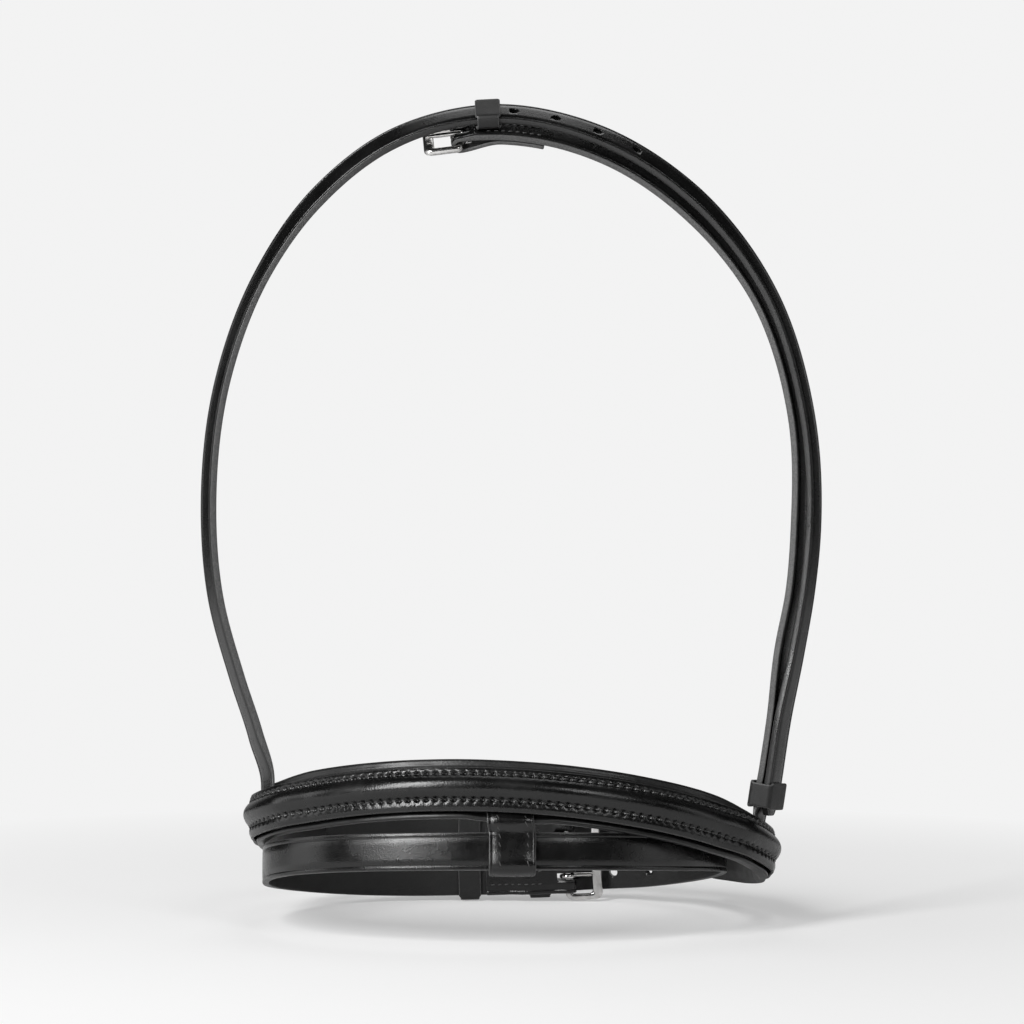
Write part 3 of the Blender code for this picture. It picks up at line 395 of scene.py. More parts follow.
def leaning_rows(shares):
    """Rows of a headpiece strap. Its rear edge leans outward, and more toward the top."""
    points = [world(x * HEADPIECE_HALF_WIDTH, POLL_SETBACK, z * HEADPIECE_HEIGHT)
              for x, z in shares]
    rows = []
    for i, point in enumerate(points):
        along = points[min(i + 1, len(points) - 1)] - points[max(i - 1, 0)]
        outward = along.normalized().cross(Vector((0, 1, 0)))
        lean = ramp(shares[i][1], HEADPIECE_LEANS)
        rows.append((point, Vector((0, math.cos(lean), 0)) + outward * math.sin(lean)))
    return rows


def seat_rows(distance, side, heights):
    """Rows up from a seat on the nosepiece, square to the band and along its curve."""
    seat = NOSE.at(distance)
    return [(seat.place(height, HEADPIECE_SEAM_GAP), seat.along * side) for height in heights]


def run_rows(out, starts):
    """Rows of the straight run above the right seat."""
    seat = NOSE.at(RIGHT_SEAT)
    foot = seat.place(LINING_WIDTH / 2, out)
    return [(foot + Vector((RUN_SLOPE * rise, 0, rise)), seat.along.copy()) for rise in starts]


SEAT_HEIGHTS = (-HEADPIECE_SEWN_DEPTH + BAND_WIDTH / 2, BAND_WIDTH / 2, LINING_WIDTH / 2)
RUN_RISES = (RUN_LENGTH, RUN_LENGTH / 2)
LONG_END = (BAND_WIDTH - LINING_WIDTH) / 2 + LONG_END_ABOVE_BAND
LONG_RUN_OUT = HEADPIECE_SEAM_GAP + HEADPIECE_LEATHER + 2 * CLEARANCE
LONG = Route(seat_rows(LEFT_SEAT, -1, SEAT_HEIGHTS) + leaning_rows(LONG_STRAP_SHARES)
             + run_rows(LONG_RUN_OUT, (*RUN_RISES, LONG_END)))
SHORT = Route(leaning_rows(BUCKLE_STRAP_SHARES) + run_rows(HEADPIECE_SEAM_GAP, (*RUN_RISES, 0.0))
              + seat_rows(RIGHT_SEAT, 1, SEAT_HEIGHTS[1::-1]))


def rounded_ends(marks, half_width):
    """Half widths along a layer whose ends are rounded off."""
    widths = []
    for mark in marks:
        share = min(min(marks[-1] - mark, mark - marks[0]) / END_ROUNDING, 1.0)
        widths.append(half_width * (END_SHARE + (1 - END_SHARE) * math.sqrt(1 - (1 - share) ** 2)))
    return widths


def point_widths(marks, half_width):
    """Half widths of a strap whose last end comes to a blunt point."""
    shares = [min((marks[-1] - mark) / POINT_LENGTH, 1.0) for mark in marks]
    return [half_width * (END_SHARE + (1 - END_SHARE) * s ** POINT_FULLNESS) for s in shares]


def band_gap(distance):
    """The band stands further off the lining where straps are sewn in under it."""
    free = min(abs(distance - LEFT_SEAT) - HEADPIECE_WIDTH,
               abs(RIGHT_SEAT - distance) - HEADPIECE_WIDTH,
               distance - BAND_START - CHIN_SEWN_LENGTH,
               BAND_END - CHIN_SEWN_LENGTH - distance)
    return ramp(free, ((0.0, BAND_SEWN_GAP), (BAND_RAMP, BAND_FRONT_GAP)))


def bead(a):
    """Height of the band's raised bead at a distance across the band."""
    reach = abs(a) * 2 / BEAD_WIDTH
    return BEAD_RISE * math.cos(min(reach, 1.0) * math.pi / 2) ** BEAD_FULLNESS_SHARE


def lining_rows(groove):
    """Rows of width share, inner height share and outer height, from the middle out."""
    channel = FOAM_WIDTH / LINING_WIDTH
    floor = -LINING_DEPTH + LINING_LEATHER
    places = (0.0, channel, channel + WALL_SHARE, *GROOVE_SHARES, *ROLL_SHARES, 1.0)
    levels = (floor, floor * LINING_SHARES[1], -CLEARANCE, -groove, -groove,
              -LINING_ROLL_SINK, LINING_ROLL, -LINING_EDGE_SINK)
    return list(zip(places, LINING_SHARES, levels))


def lining_inner(v):
    rows = [(share, -LINING_DEPTH * depth) for share, depth, level in lining_rows(CLEARANCE)]
    return table_at(abs(v), rows)


def lining_outer(v):
    """The lower side has a groove, where the flash strap's loop is sewn in."""
    rows = lining_rows(LINING_GROOVE if v < 0 else CLEARANCE)
    return table_at(abs(v), [(share, level) for share, depth, level in rows])


def both_sides(shares):
    return [-share for share in reversed(shares) if share] + list(shares)


def side_share(distance):
    """0 along the front of the nosepiece and 1 along its sides."""
    reach = NOSE_FRONT + abs(distance - NOSE_FRONT)
    return smooth((reach - TAPER_START) / (TAPER_END - TAPER_START))


def rows_of(places):
    """Rows of (point, width direction) from frames."""
    return [(place.point, place.across) for place in places]


class Chape:
    """The fold of a strap round its buckle's heel bar, at a distance along a route."""

    def __init__(self, route, heel, width, leather_thickness, keeper_inside=True):
        self.route = route
        self.heel = heel
        self.width = width
        self.leather = leather_thickness
        self.keeper_inside = keeper_inside
        self.bend = HEEL_BAR / 2 + HEEL_FIT
        self.seat = route.at(heel)
        self.axis = self.seat.place(0, -self.bend)
        # Buckle axes: X toward the end bar, Y along the heel bar, Z out
        self.matrix = axes_matrix(self.axis, -self.seat.along, -self.seat.across, self.seat.out)

    def return_levels(self):
        """How far the returned layer lies inside the strap, by distance from the heel."""
        under_keeper = KEEPER_LEATHER + 2 * KEEPER_FIT
        keeper_start = FIXED_KEEPER_FROM_HEEL - FIXED_KEEPER_LENGTH / 2 - CLEARANCE
        keeper_end = FIXED_KEEPER_FROM_HEEL + FIXED_KEEPER_LENGTH / 2 + CLEARANCE
        if not self.keeper_inside:
            return (0.0, 2 * self.bend), (keeper_end, CLEARANCE)
        return ((0.0, 2 * self.bend), (keeper_start, under_keeper), (keeper_end, under_keeper),
                (keeper_end + CHAPE_SKIVE, CLEARANCE))

    def folded_rows(self):
        """Rows along the returned layer and round the heel bar."""
        levels = self.return_levels()
        knots = [self.heel + reach for reach, level in levels[1:]]
        rows = []
        for m in stations(self.route, self.heel, self.heel + CHAPE_RETURN, knots)[::-1]:
            place = self.route.at(m)
            rows.append((place.place(0, -ramp(m - self.heel, levels)), place.across))
        for i in range(1, FOLD_STEPS):
            angle = math.pi * (i / FOLD_STEPS - 1 / 2)
            offset = self.seat.out * math.sin(angle) - self.seat.along * math.cos(angle)
            rows.append((self.axis + offset * self.bend, self.seat.across))
        return rows


def frames_of(rows):
    """Frames along a list of (point, width direction)."""
    before, after = rows[:1] + rows[:-1], rows[1:] + rows[-1:]
    return [Frame(point, b - a, width)
            for (point, width), (a, _), (b, _) in zip(rows, before, after)]


def billet_level(reach, leather_under):
    """How far a billet's inner face stands off the strap route, past and before a heel.

    reach is the distance from the heel toward the keepers, so the frame is below zero.
    """
    frame_end = -FRAME_REACH
    return ramp(reach, (
        (frame_end - BILLET_RISE_LENGTH, 0.0), (frame_end + END_BAR, BILLET_OVER_FRAME),
        (FIXED_KEEPER_FROM_HEEL - FIXED_KEEPER_LENGTH, leather_under + CLEARANCE)))


def ring_heel(route, across):
    """The distance on a ring's rear at which its buckle's heel bar lies."""
    half = route.length / 2
    return route.nearest(lambda p: abs(p.x - across) if p.y > 0 else half, -half / 2, half / 2)


CHIN = Chape(NOSE, ring_heel(NOSE, CHIN_BUCKLE_ACROSS), CHIN_WIDTH, CHIN_LEATHER)
FLASH_CHAPE = Chape(FLASH, ring_heel(FLASH, FLASH_BUCKLE_ACROSS), FLASH_WIDTH, FLASH_LEATHER)
SHORT_CHAPE = Chape(SHORT, SHORT.knot(1), HEADPIECE_WIDTH, HEADPIECE_LEATHER, False)
# The place on the long strap that lies over the short strap's fixed keeper seat
KEEPER_SEAT = SHORT.at(SHORT_CHAPE.heel + FIXED_KEEPER_FROM_HEEL).point
KEEPER_ON_LONG = LONG.nearest(lambda p: (p - KEEPER_SEAT).length)


def loop_rows():
    """The loop's middle line: from under the band, round the flash strap and up behind it."""
    front = NOSE.at(NOSE_FRONT)
    held = FLASH.at(FLASH.nearest(lambda p: p.y + abs(p.x)))
    top = BAND_WIDTH / 2
    half = FLASH_WIDTH / 2
    room = LOOP_FIT + LOOP_LEATHER / 2
    outside = FLASH_LEATHER + room
    low = -half - room
    roll = LINING_WIDTH / 2 * ROLL_SHARES[1] + LINING_DROP
    near, far = LOOP_BEND_SHARES
    from_band = ((-top + LOOP_TUCK, -LOOP_SINK), (-top - LOOP_TUCK, -LOOP_SINK * near),
                 (-roll, LINING_ROLL + LOOP_ROLL_ROOM))
    round_strap = ((half, outside), (0, outside), (-half, outside),
                   (low * far, FLASH_LEATHER * far), (low, FLASH_LEATHER / 2),
                   (low * far, FLASH_LEATHER * (1 - far)), (-half, -room), (0, -room),
                   (half, -room))
    return ([(front.place(*spot), front.along) for spot in from_band]
            + [(held.place(*spot), held.along) for spot in round_strap])


# Finer sizes that only the looks use
ARC_STEPS = 3
CORNER_STEPS = 6
END_CHAMFER = 0.0003
CREASE_IN = 0.0020
NARROW_CREASE_IN = 0.0014
CREASE_DEPTH = 0.00034
CREASE_WIDTH = 0.00022
CROWN = 0.00012
FLESH_WAVE = 0.00008
LEATHER_WAVE = 0.00010
WAVE_SCALE = 45.0
HOLE_SIDES = 24
TAIL_STEPS = 8

STITCH_PITCH = 0.00403
STITCH_LENGTH = 0.0019
STITCH_RADIUS = 0.00030
STITCH_TILT = math.radians(9)
STITCH_SWAY = 4
STITCH_SIDES = 6
STITCH_RINGS = 6
STITCH_END_SHARE = 0.45
STITCH_SINK = 1.1
STITCH_PROUD = STITCH_RADIUS * 0.2
BAND_STITCH_PROUD = STITCH_RADIUS * 0.35
CHANNEL_WIDTH = 0.00095
CHANNEL_DEPTH = 0.00026
CHANNEL_SHARES = (-1.4, -1.0, -0.65, -0.3, 0, 0.3, 0.65, 1.0, 1.5)
HOLE_DEPTH = 0.00155
BEAD_STEPS = 6
BAND_WAVE = 0.00008
BAND_WAVE_SCALES = (60, 200)
BAND_MARKS_PER_STITCH = 6
ROW_ACROSS = BAND_WIDTH / 2 * 0.54

# The band is drawn a little narrower at its top, where the padding's roll shows above it
BAND_LOOK_HALF = 0.00955
BAND_LOOK_SHIFT = -0.00095
EDGE_FALL = 0.0008
EDGE_FALL_WIDTH = 0.0028
EDGE_FALL_POWER = 1.5
EDGE_FALL_SHARES = (0.3, 0.5, 0.75)
TOP_ROLL = 0.00045
TOP_ROLL_SHARES = (0.80, 0.10)
LOWER_LIFT_SHARE = 0.85
LOWER_LIFT_SHARES = (0.5, 0.7)
PADDING_TRIM = 0.0004
PADDING_ROUND = 0.0006
LOWER_SHARES = (
    (0.0, 0.0), (0.60, 0.60), (0.785, 0.80), (0.825, 0.865), (0.955, 0.94), (1.0, 1.0))
PADDING_SHARES = (
    0, 0.18, 0.36, 0.5, 0.56, 0.62, 0.70, 0.76, 0.79, 0.82, 0.86, 0.91, 0.95)
LOOP_CLEAR = 0.012
LOOP_CLEAR_FADE = 0.008
PADDING_SMOOTH_SHARE = 0.045
PADDING_SPACING = 0.0030
PUCKER = 0.00016
PUCKER_PITCH = 0.0085
PUCKER_SHARES = (0.62, 0.16)
PUCKER_SCALE = 160
PUCKER_EDGE_SHARE = 0.8
PADDING_WAVE = 0.00022
PADDING_WAVE_SCALES = (90, 150)

LOOP_ROWS = (("right", 0.0066), ("left", -0.0054))
LOOP_STITCH_PITCH = 0.0040
LOOP_STITCH_LENGTH = LOOP_STITCH_PITCH * 0.72
LOOP_STITCH_RADIUS = STITCH_RADIUS * 0.85
LOOP_STITCH_TILT = math.radians(20)
LOOP_STITCH_OFFSET = 0.6
LOOP_CORNER = 0.0011
LOOP_CORNER_REACH = 0.0011
CHAPE_ROW_IN = 0.0050
NARROW_CHAPE_ROW_IN = 0.0034
CHAPE_ROW_START = 0.0125
CHAPE_STITCH_PITCH = 0.0032
CHAPE_STITCH_SHARE = 0.7
CHAPE_STITCH_OFFSET = 0.3
CROSS_STITCH_PITCH = 0.0026
CROSS_ROW_REACH = 0.0072
CROSS_ROW_IN = 0.0018
CROSS_STITCH_RADIUS = STITCH_RADIUS * 0.8
# Painted shade on the long strap's cut edge: how much darker it is drawn, where along x the shade
# starts, and how far it fades in
EDGE_SHADE = 0.8
EDGE_SHADE_FROM = -0.10
EDGE_SHADE_FADE = 0.06

KEEPER_END_ROUND = 0.0008
KEEPER_END_SHARE = 0.6
KEEPER_STEP = 0.0016
FRAME_SIDES = 16
FRAME_SQUARENESS = 0.62
TONGUE_SIDES = 14
COIL_STEPS = 26
TIP_STEPS = 16
TIP_ROUND_STEPS = 6
TIP_END_SHARE = 0.35
COIL_END_SHARE = 0.8


# Meshes


def add_object(name, data):
    obj = bpy.data.objects.new(name, data)
    bpy.context.scene.collection.objects.link(obj)
    return obj


def link(name, mesh, mat, body, slot, *nodes):
    """A new piece in the scene: its material, its body, and the solids that it stands for."""
    obj = add_object(name, mesh)
    obj.data.materials.append(mat)
    obj.data.shade_smooth()
    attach(obj, body)
    if nodes:
        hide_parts(*nodes)
    return obj


def ring(middle, across, out, radius, sides):
    """Points round a circle."""
    angles = [math.tau * i / sides for i in range(sides)]
    return [middle + across * radius * math.cos(t) + out * radius * math.sin(t) for t in angles]


def ring_faces(rows, count, closed=False, first=0):
    """Faces through rows of count points each, with a cap on both ends of an open tube."""
    rings = [range(first + i * count, first + (i + 1) * count) for i in range(rows)]
    faces = [(a[k], a[(k + 1) % count], b[(k + 1) % count], b[k])
             for a, b in zip(rings, rings[1:] + rings[:closed]) for k in range(count)]
    return faces if closed else faces + [tuple(rings[0]), tuple(rings[-1])]


def solid(name, verts, faces):
    """A mesh with its faces turned outward."""
    mesh = bpy.data.meshes.new(name)
    mesh.from_pydata(verts, [], faces)
    bm = bmesh.new()
    bm.from_mesh(mesh)
    bmesh.ops.recalc_face_normals(bm, faces=bm.faces)
    if bm.calc_volume(signed=True) < 0:
        bmesh.ops.reverse_faces(bm, faces=bm.faces)
    bm.to_mesh(mesh)
    bm.free()
    return mesh


def skin(name, path, sections, closed=False):
    """A closed mesh through one outline at each frame.

    An outline is a list of (across, out, cut, flesh), where cut is 1 on a cut edge and
    flesh is 1 on the rough inner side.
    """
    verts = [place.place(*spot[:2]) for place, section in zip(path, sections) for spot in section]
    mesh = solid(name, verts, ring_faces(len(path), len(sections[0]), closed))
    for column, label in ((2, "cut"), (3, "flesh")):
        values = [spot[column] for section in sections for spot in section]
        mesh.attributes.new(label, "FLOAT", "POINT").data.foreach_set("value", values)
    return mesh


def outline(half, columns, inner, outer, rounding=EDGE_ROUND):
    """A closed outline: outer face, cut edge, flesh side, cut edge."""
    limit = half - rounding
    inside = sorted({max(-limit, min(limit, c)) for c in columns} | {-limit, limit})
    while len(inside) < len(set(columns)) + 2:
        inside.append(inside[-1])
    rows = [(a, outer(a), 0.0, 0.0) for a in inside]
    for side in (1, -1):
        top, bottom = outer(side * limit), inner(side * limit)
        bend = min(rounding, (top - bottom) / 2)
        arc = []
        for step in range(1, ARC_STEPS + 1):
            angle = math.pi / 2 * step / ARC_STEPS
            arc.append((side * (limit + rounding * math.sin(angle)),
                        top - bend * (1 - math.cos(angle)), step / ARC_STEPS, 0.0))
        under = [(a, bottom + (top - out), 1.0, 0.0) for a, out, cut, flesh in reversed(arc)]
        if side > 0:
            rows += arc + under
            rows += [(a, inner(a), 0.0, 1.0) for a in reversed(inside)]
        else:
            rows += under[::-1] + arc[::-1]
    return rows


def wave(point, seed):
    """Slow unevenness of hand-cut leather, from -1 to 1."""
    return noise.noise(point * WAVE_SCALE + Vector((seed, 0, 0)))


def creased(half, low, high, crease, seed, point):
    """Outline of a strap with a crease along each edge of its outer face."""
    crease = min(crease, half / 2)
    bend = EDGE_ROUND if high - low > 2 * EDGE_ROUND else (high - low) / 2
    columns = [0.0]
    for side in (-1, 1):
        columns += [side * (half - crease + step * CREASE_WIDTH) for step in range(-2, 3)]
        columns += [side * (half - (bend + crease) / 2), side * (half - crease) / 2]
    lift = wave(point, seed)

    def outer(a):
        reach = (half - abs(a) - crease) / CREASE_WIDTH
        dip = CREASE_DEPTH * math.exp(-reach * reach)
        crown = CROWN * (1 - (a / half) ** 2) + LEATHER_WAVE * lift * (1 - abs(a) / half)
        return high + crown - dip

    def inner(a):
        return low + FLESH_WAVE * (1 - abs(a) / half) * wave(point, seed + 7)
    return outline(half, columns, inner, outer, bend)


def strap(node, body, path, widths, lows, highs, crease=NARROW_CREASE_IN, cutters=(),
          name=None, closed=False, cut_unshaded=None):
    """A creased leather strap along a path, with its ends a little rounded.

    The last argument says how much of the cut edge's lighter, rougher look is kept at a point.
    Where less of it is kept, the edge is drawn darker as painted shade.
    """
    name = name or node + "_skin"
    seed = sum(map(ord, name))
    if not closed:
        for end, step in ((0, 1), (-1, -1)):
            there = path[end]
            spot = 1 if end == 0 else len(path) - 1
            path.insert(spot, Frame(there.point + there.along * END_CHAMFER * step, there.along,
                                    there.across))
            for table, change in ((widths, -1), (lows, 1), (highs, -1)):
                table.insert(spot, table[end])
                table[end] += END_CHAMFER * change
    sections = [creased(w, a, b, crease, seed, place.point)
                for place, w, a, b in zip(path, widths, lows, highs)]
    # Painted shade: the cut edge's lighter look is scaled down where the edge should look shaded
    if cut_unshaded:
        sections = [[(a, out, cut * cut_unshaded(place.point), flesh) for a, out, cut, flesh in section]
                    for place, section in zip(path, sections)]
    if not closed:
        for end in (0, -1):
            sections[end] = [(a, out, 1.0, 0.0) for a, out, cut, flesh in sections[end]]
    mesh = skin(name, path, sections, closed)
    obj = link(name, mesh, SMOOTH_LEATHER, body, "black_leather", node)
    if cutters:
        cut_with(obj, cutters)


def painted_shade_on_right(point):
    """Painted shade on the long strap's cut edge: it is drawn darker from the top on, and down its
    right side.
    """
    return 1 - EDGE_SHADE * smooth((point.x - EDGE_SHADE_FROM) / EDGE_SHADE_FADE)


def cut_with(obj, cutters):
    """Cuts shapes out of a piece and keeps the result as its mesh."""
    mesh = bpy.data.meshes.new("cutters")
    bm = bmesh.new()
    for matrix, make in cutters:
        bmesh.ops.transform(bm, matrix=matrix, verts=make(bm)["verts"])
    bm.to_mesh(mesh)
    bm.free()
    tool = add_object("cutters", mesh)
    cut = obj.modifiers.new("cut", "BOOLEAN")
    cut.operation = "DIFFERENCE"
    cut.solver = "EXACT"
    cut.object = tool
    bpy.context.view_layer.update()
    done = bpy.data.meshes.new_from_object(
        obj.evaluated_get(bpy.context.evaluated_depsgraph_get()))
    obj.modifiers.remove(cut)
    obj.data = done
    bpy.data.objects.remove(tool)


def hole_cutters(places, thickness):
    def make(bm):
        return bmesh.ops.create_cone(
            bm, cap_ends=True, segments=HOLE_SIDES, radius1=HOLE_DIAMETER / 2,
            radius2=HOLE_DIAMETER / 2, depth=thickness + 2 * OVERRUN)
    return [(axes_matrix(place.point, place.along, place.across, place.out), make)
            for place in places]


def billet_holes(chape, heel, count, start):
    """Cutters for the holes of a billet that lies over its buckle."""
    places = []
    for i in range(count):
        reach = -FRAME_REACH - HOLE_PITCH * (i + start)
        level = billet_level(reach, chape.leather)
        places.append(chape.route.at(heel + reach).moved(0, level))
    return hole_cutters(places, chape.leather)


def slot_cutter(chape):
    slot = TONGUE_WIRE + 2 * TONGUE_SLOT_ROOM
    depth = 2 * (chape.bend + chape.leather + OVERRUN)

    def make(bm):
        made = bmesh.ops.create_cube(bm, size=1)
        bmesh.ops.transform(bm, matrix=Matrix.Diagonal((2 * SLOT_REACH, slot, depth, 1)),
                            verts=made["verts"])
        return made
    return chape.matrix, make


def stitch_row(name, places, length, radius, body, tilt=STITCH_TILT):
    """Thread stitches, one at each frame: thick in the middle and sunk at both ends."""
    draw = random.Random(sum(map(ord, name)))
    verts, faces = [], []
    for place in places:
        turn = tilt + math.radians(draw.uniform(-STITCH_SWAY, STITCH_SWAY))
        along = place.along * math.cos(turn) + place.across * math.sin(turn)
        across = place.out.cross(along)
        faces += ring_faces(STITCH_RINGS + 1, STITCH_SIDES, first=len(verts))
        for i in range(STITCH_RINGS + 1):
            share = 2 * i / STITCH_RINGS - 1
            fat = radius * (STITCH_END_SHARE + (1 - STITCH_END_SHARE) * math.sqrt(1 - share ** 4))
            sink = radius * STITCH_SINK * share ** 4
            middle = place.point + along * share * length / 2 - place.out * sink
            verts += ring(middle, across, place.out, fat, STITCH_SIDES)
    link(name, solid(name, verts, faces), THREAD, body, "black_leather")


# Materials


class Nodes:
    """A node tree, with short calls that add a node and give its output."""

    def __init__(self, owner):
        owner.use_nodes = True
        self.owner = owner
        self.tree = owner.node_tree
        self.nodes = self.tree.nodes

    def put(self, value, socket):
        if isinstance(value, bpy.types.NodeSocket):
            self.tree.links.new(value, socket)
        else:
            socket.default_value = value

    def feed(self, node, values):
        for socket, value in zip(node.inputs, values):
            self.put(value, socket)
        return node

    def add(self, kind, *values, output=0, **sockets):
        """The values go to the inputs in their order, or by their names."""
        node = self.feed(self.nodes.new(kind), values)
        for name, value in sockets.items():
            self.put(value, node.inputs[name.replace("_", " ")])
        return node.outputs[output]

    def maths(self, operation, *values, kind="ShaderNodeMath", output=0):
        node = self.feed(self.nodes.new(kind), values)
        node.operation = operation
        return node.outputs[output]

    def attribute(self, name):
        node = self.nodes.new("ShaderNodeAttribute")
        node.attribute_name = name
        return node.outputs["Fac"]

    def times(self, a, b):
        return self.maths("MULTIPLY", a, b)

    def mixed(self, share, a, b):
        """A blend of two colours."""
        node = self.nodes.new("ShaderNodeMix")
        node.data_type = "RGBA"
        for i, value in ((0, share), (6, a), (7, b)):
            self.put(value, node.inputs[i])
        return node.outputs[2]

    def toned(self, share, level, tones):
        """A blend of two tones of one grey."""
        return self.mixed(share, *(grey(level * tone) for tone in tones))

    def spread(self, value, low, high, start=0.0, end=1.0):
        """Maps a value from low..high to start..end."""
        return self.add("ShaderNodeMapRange", Value=value, From_Min=low, From_Max=high,
                        To_Min=start, To_Max=end)

    def dress(self, colour, roughness, height, strength, distance):
        """Sets a material's colour, roughness and fine bump, and gives the material."""
        shader = self.nodes["Principled BSDF"].inputs
        self.put(colour, shader["Base Color"])
        self.put(roughness, shader["Roughness"])
        bump = self.add("ShaderNodeBump", Height=height, Strength=strength, Distance=distance)
        self.put(bump, shader["Normal"])
        return self.owner


def grey(level, warmth=0.0):
    return (level * (1 + warmth), level, level * (1 - warmth), 1.0)


# Scales are features to a metre, and a bump is its strength and its height.
CLOUD_SCALE = 60.0
CLOUD_RANGE = (0.35, 0.68)
WORN_RANGE = (0.3, 0.7)
WORN_DULLNESS = (-0.06, 0.10)
CUT_DULLNESS = 0.24
FIBRE_SCALE = 1500.0
FIBRE_RANGE = (0.35, 0.65)
FIBRE_DEPTH = 2.2
PORE_RANGE = (0.0, 0.75)
PORE_DEPTH = 0.65
FINE_GRAIN_SHARE = 2.2
FINE_GRAIN_DEPTH = 0.5
FACE_TONES = (0.75, 1.3)
CUT_TONES = (0.55, 1.5)
FLESH_TONES = (0.9, 2.6)
LEATHER_BUMP = (0.38, 0.00014)

THREAD_SCALE = 2600.0
THREAD_TONES = (0.012, 0.075)
THREAD_RANGE = (0.3, 0.7)
THREAD_DULLNESS = (0.35, 0.6)
THREAD_BUMP = (0.5, 0.0001)

STEEL_CLOUD_SCALE = 420.0
STEEL_CLOUD_RANGE = (0.3, 0.7)
STEEL_MARK_SCALE = 3800.0
STEEL_DARK = (0.50, 0.02)
STEEL_LIGHT = (0.78, 0.01)
STEEL_DULL_RANGE = (0.3, 0.75)
STEEL_DULLNESS = (0.10, 0.28)
STEEL_BUMP = (0.12, 0.0001)


def leather_material(name, face, edge, dullness, grain):
    """Dyed leather: fine grain on the face, fibres on cut edges and a rough flesh side."""
    to = Nodes(bpy.data.materials.new(name))
    spot = to.add("ShaderNodeTexCoord", output="Object")
    cut = to.attribute("cut")
    flesh = to.attribute("flesh")
    rough = to.maths("MAXIMUM", cut, flesh)
    cloud = to.add("ShaderNodeTexNoise", Vector=spot, Scale=CLOUD_SCALE, Detail=5.0,
                   Roughness=0.6)
    pores = to.add("ShaderNodeTexVoronoi", Vector=spot, Scale=grain)
    fine = to.add("ShaderNodeTexNoise", Vector=spot, Scale=grain * FINE_GRAIN_SHARE, Detail=3.0)
    fibre = to.add("ShaderNodeTexNoise", Vector=spot, Scale=FIBRE_SCALE, Detail=4.0,
                   Roughness=0.7)
    cloud_share = to.spread(cloud, *CLOUD_RANGE)
    fibre_share = to.spread(fibre, *FIBRE_RANGE)
    face_colour = to.toned(cloud_share, face, FACE_TONES)
    cut_colour = to.toned(fibre_share, edge, CUT_TONES)
    flesh_colour = to.toned(fibre_share, face, FLESH_TONES)
    colour = to.mixed(cut, to.mixed(flesh, face_colour, flesh_colour), cut_colour)
    worn = to.spread(cloud, *WORN_RANGE, *(dullness + change for change in WORN_DULLNESS))
    roughness = to.maths("ADD", worn, to.times(rough, CUT_DULLNESS))
    cells = to.times(to.spread(pores, *PORE_RANGE), PORE_DEPTH)
    grained = to.maths("ADD", cells, to.times(fine, FINE_GRAIN_DEPTH))
    height = to.maths("ADD", to.times(grained, to.maths("SUBTRACT", 1.0, rough)),
                      to.times(to.times(fibre, FIBRE_DEPTH), rough))
    return to.dress(colour, roughness, height, *LEATHER_BUMP)


def thread_material():
    """Waxed thread, darker and lighter along its twist."""
    to = Nodes(bpy.data.materials.new("waxed_thread"))
    spot = to.add("ShaderNodeTexCoord", output="Object")
    twist = to.add("ShaderNodeTexNoise", Vector=spot, Scale=THREAD_SCALE, Detail=2.0)
    return to.dress(to.toned(twist, 1.0, THREAD_TONES),
                    to.spread(twist, *THREAD_RANGE, *THREAD_DULLNESS), twist, *THREAD_BUMP)


def steel_material():
    """Polished steel with faint polishing marks and dulled patches."""
    to = Nodes(bpy.data.materials.new("polished_steel"))
    spot = to.add("ShaderNodeTexCoord", output="Object")
    cloud = to.add("ShaderNodeTexNoise", Vector=spot, Scale=STEEL_CLOUD_SCALE, Detail=6.0,
                   Roughness=0.65)
    marks = to.add("ShaderNodeTexNoise", Vector=spot, Scale=STEEL_MARK_SCALE, Detail=2.0)
    colour = to.mixed(to.spread(cloud, *STEEL_CLOUD_RANGE), grey(*STEEL_DARK),
                      grey(*STEEL_LIGHT))
    to.put(1.0, to.nodes["Principled BSDF"].inputs["Metallic"])
    return to.dress(colour, to.spread(cloud, *STEEL_DULL_RANGE, *STEEL_DULLNESS), marks,
                    *STEEL_BUMP)


SMOOTH_LEATHER = leather_material("smooth_leather", face=0.0030, edge=0.068, dullness=0.24,
                                  grain=1500.0)
BAND_LEATHER_LOOK = leather_material("band_leather", face=0.0032, edge=0.050, dullness=0.25,
                                     grain=1150.0)
SOFT_LEATHER = leather_material("soft_leather", face=0.0046, edge=0.032, dullness=0.36,
                                grain=1000.0)
THREAD = thread_material()
STEEL = steel_material()


# Nosepiece


def band_outer(distance, a):
    """Height of the band's outer face, with its bead and two stitched channels."""
    hole = max(0.0, math.cos(math.tau * (distance - NOSE_FRONT) / STITCH_PITCH)) ** 2
    reach = (abs(a) - ROW_ACROSS) / CHANNEL_WIDTH
    dip = (CHANNEL_DEPTH + HOLE_DEPTH * hole) * math.exp(-reach * reach)
    edge = BAND_LOOK_HALF - abs(a - BAND_LOOK_SHIFT)
    fall = EDGE_FALL * (1 - smooth(edge / EDGE_FALL_WIDTH)) ** EDGE_FALL_POWER
    along, across = BAND_WAVE_SCALES
    uneven = BAND_WAVE * noise.noise(Vector((distance * along, a * across, 0)))
    return band_inner(distance, a) + BAND_LEATHER - dip - fall + uneven


def band_inner(distance, a):
    return band_gap(distance) + bead(a)


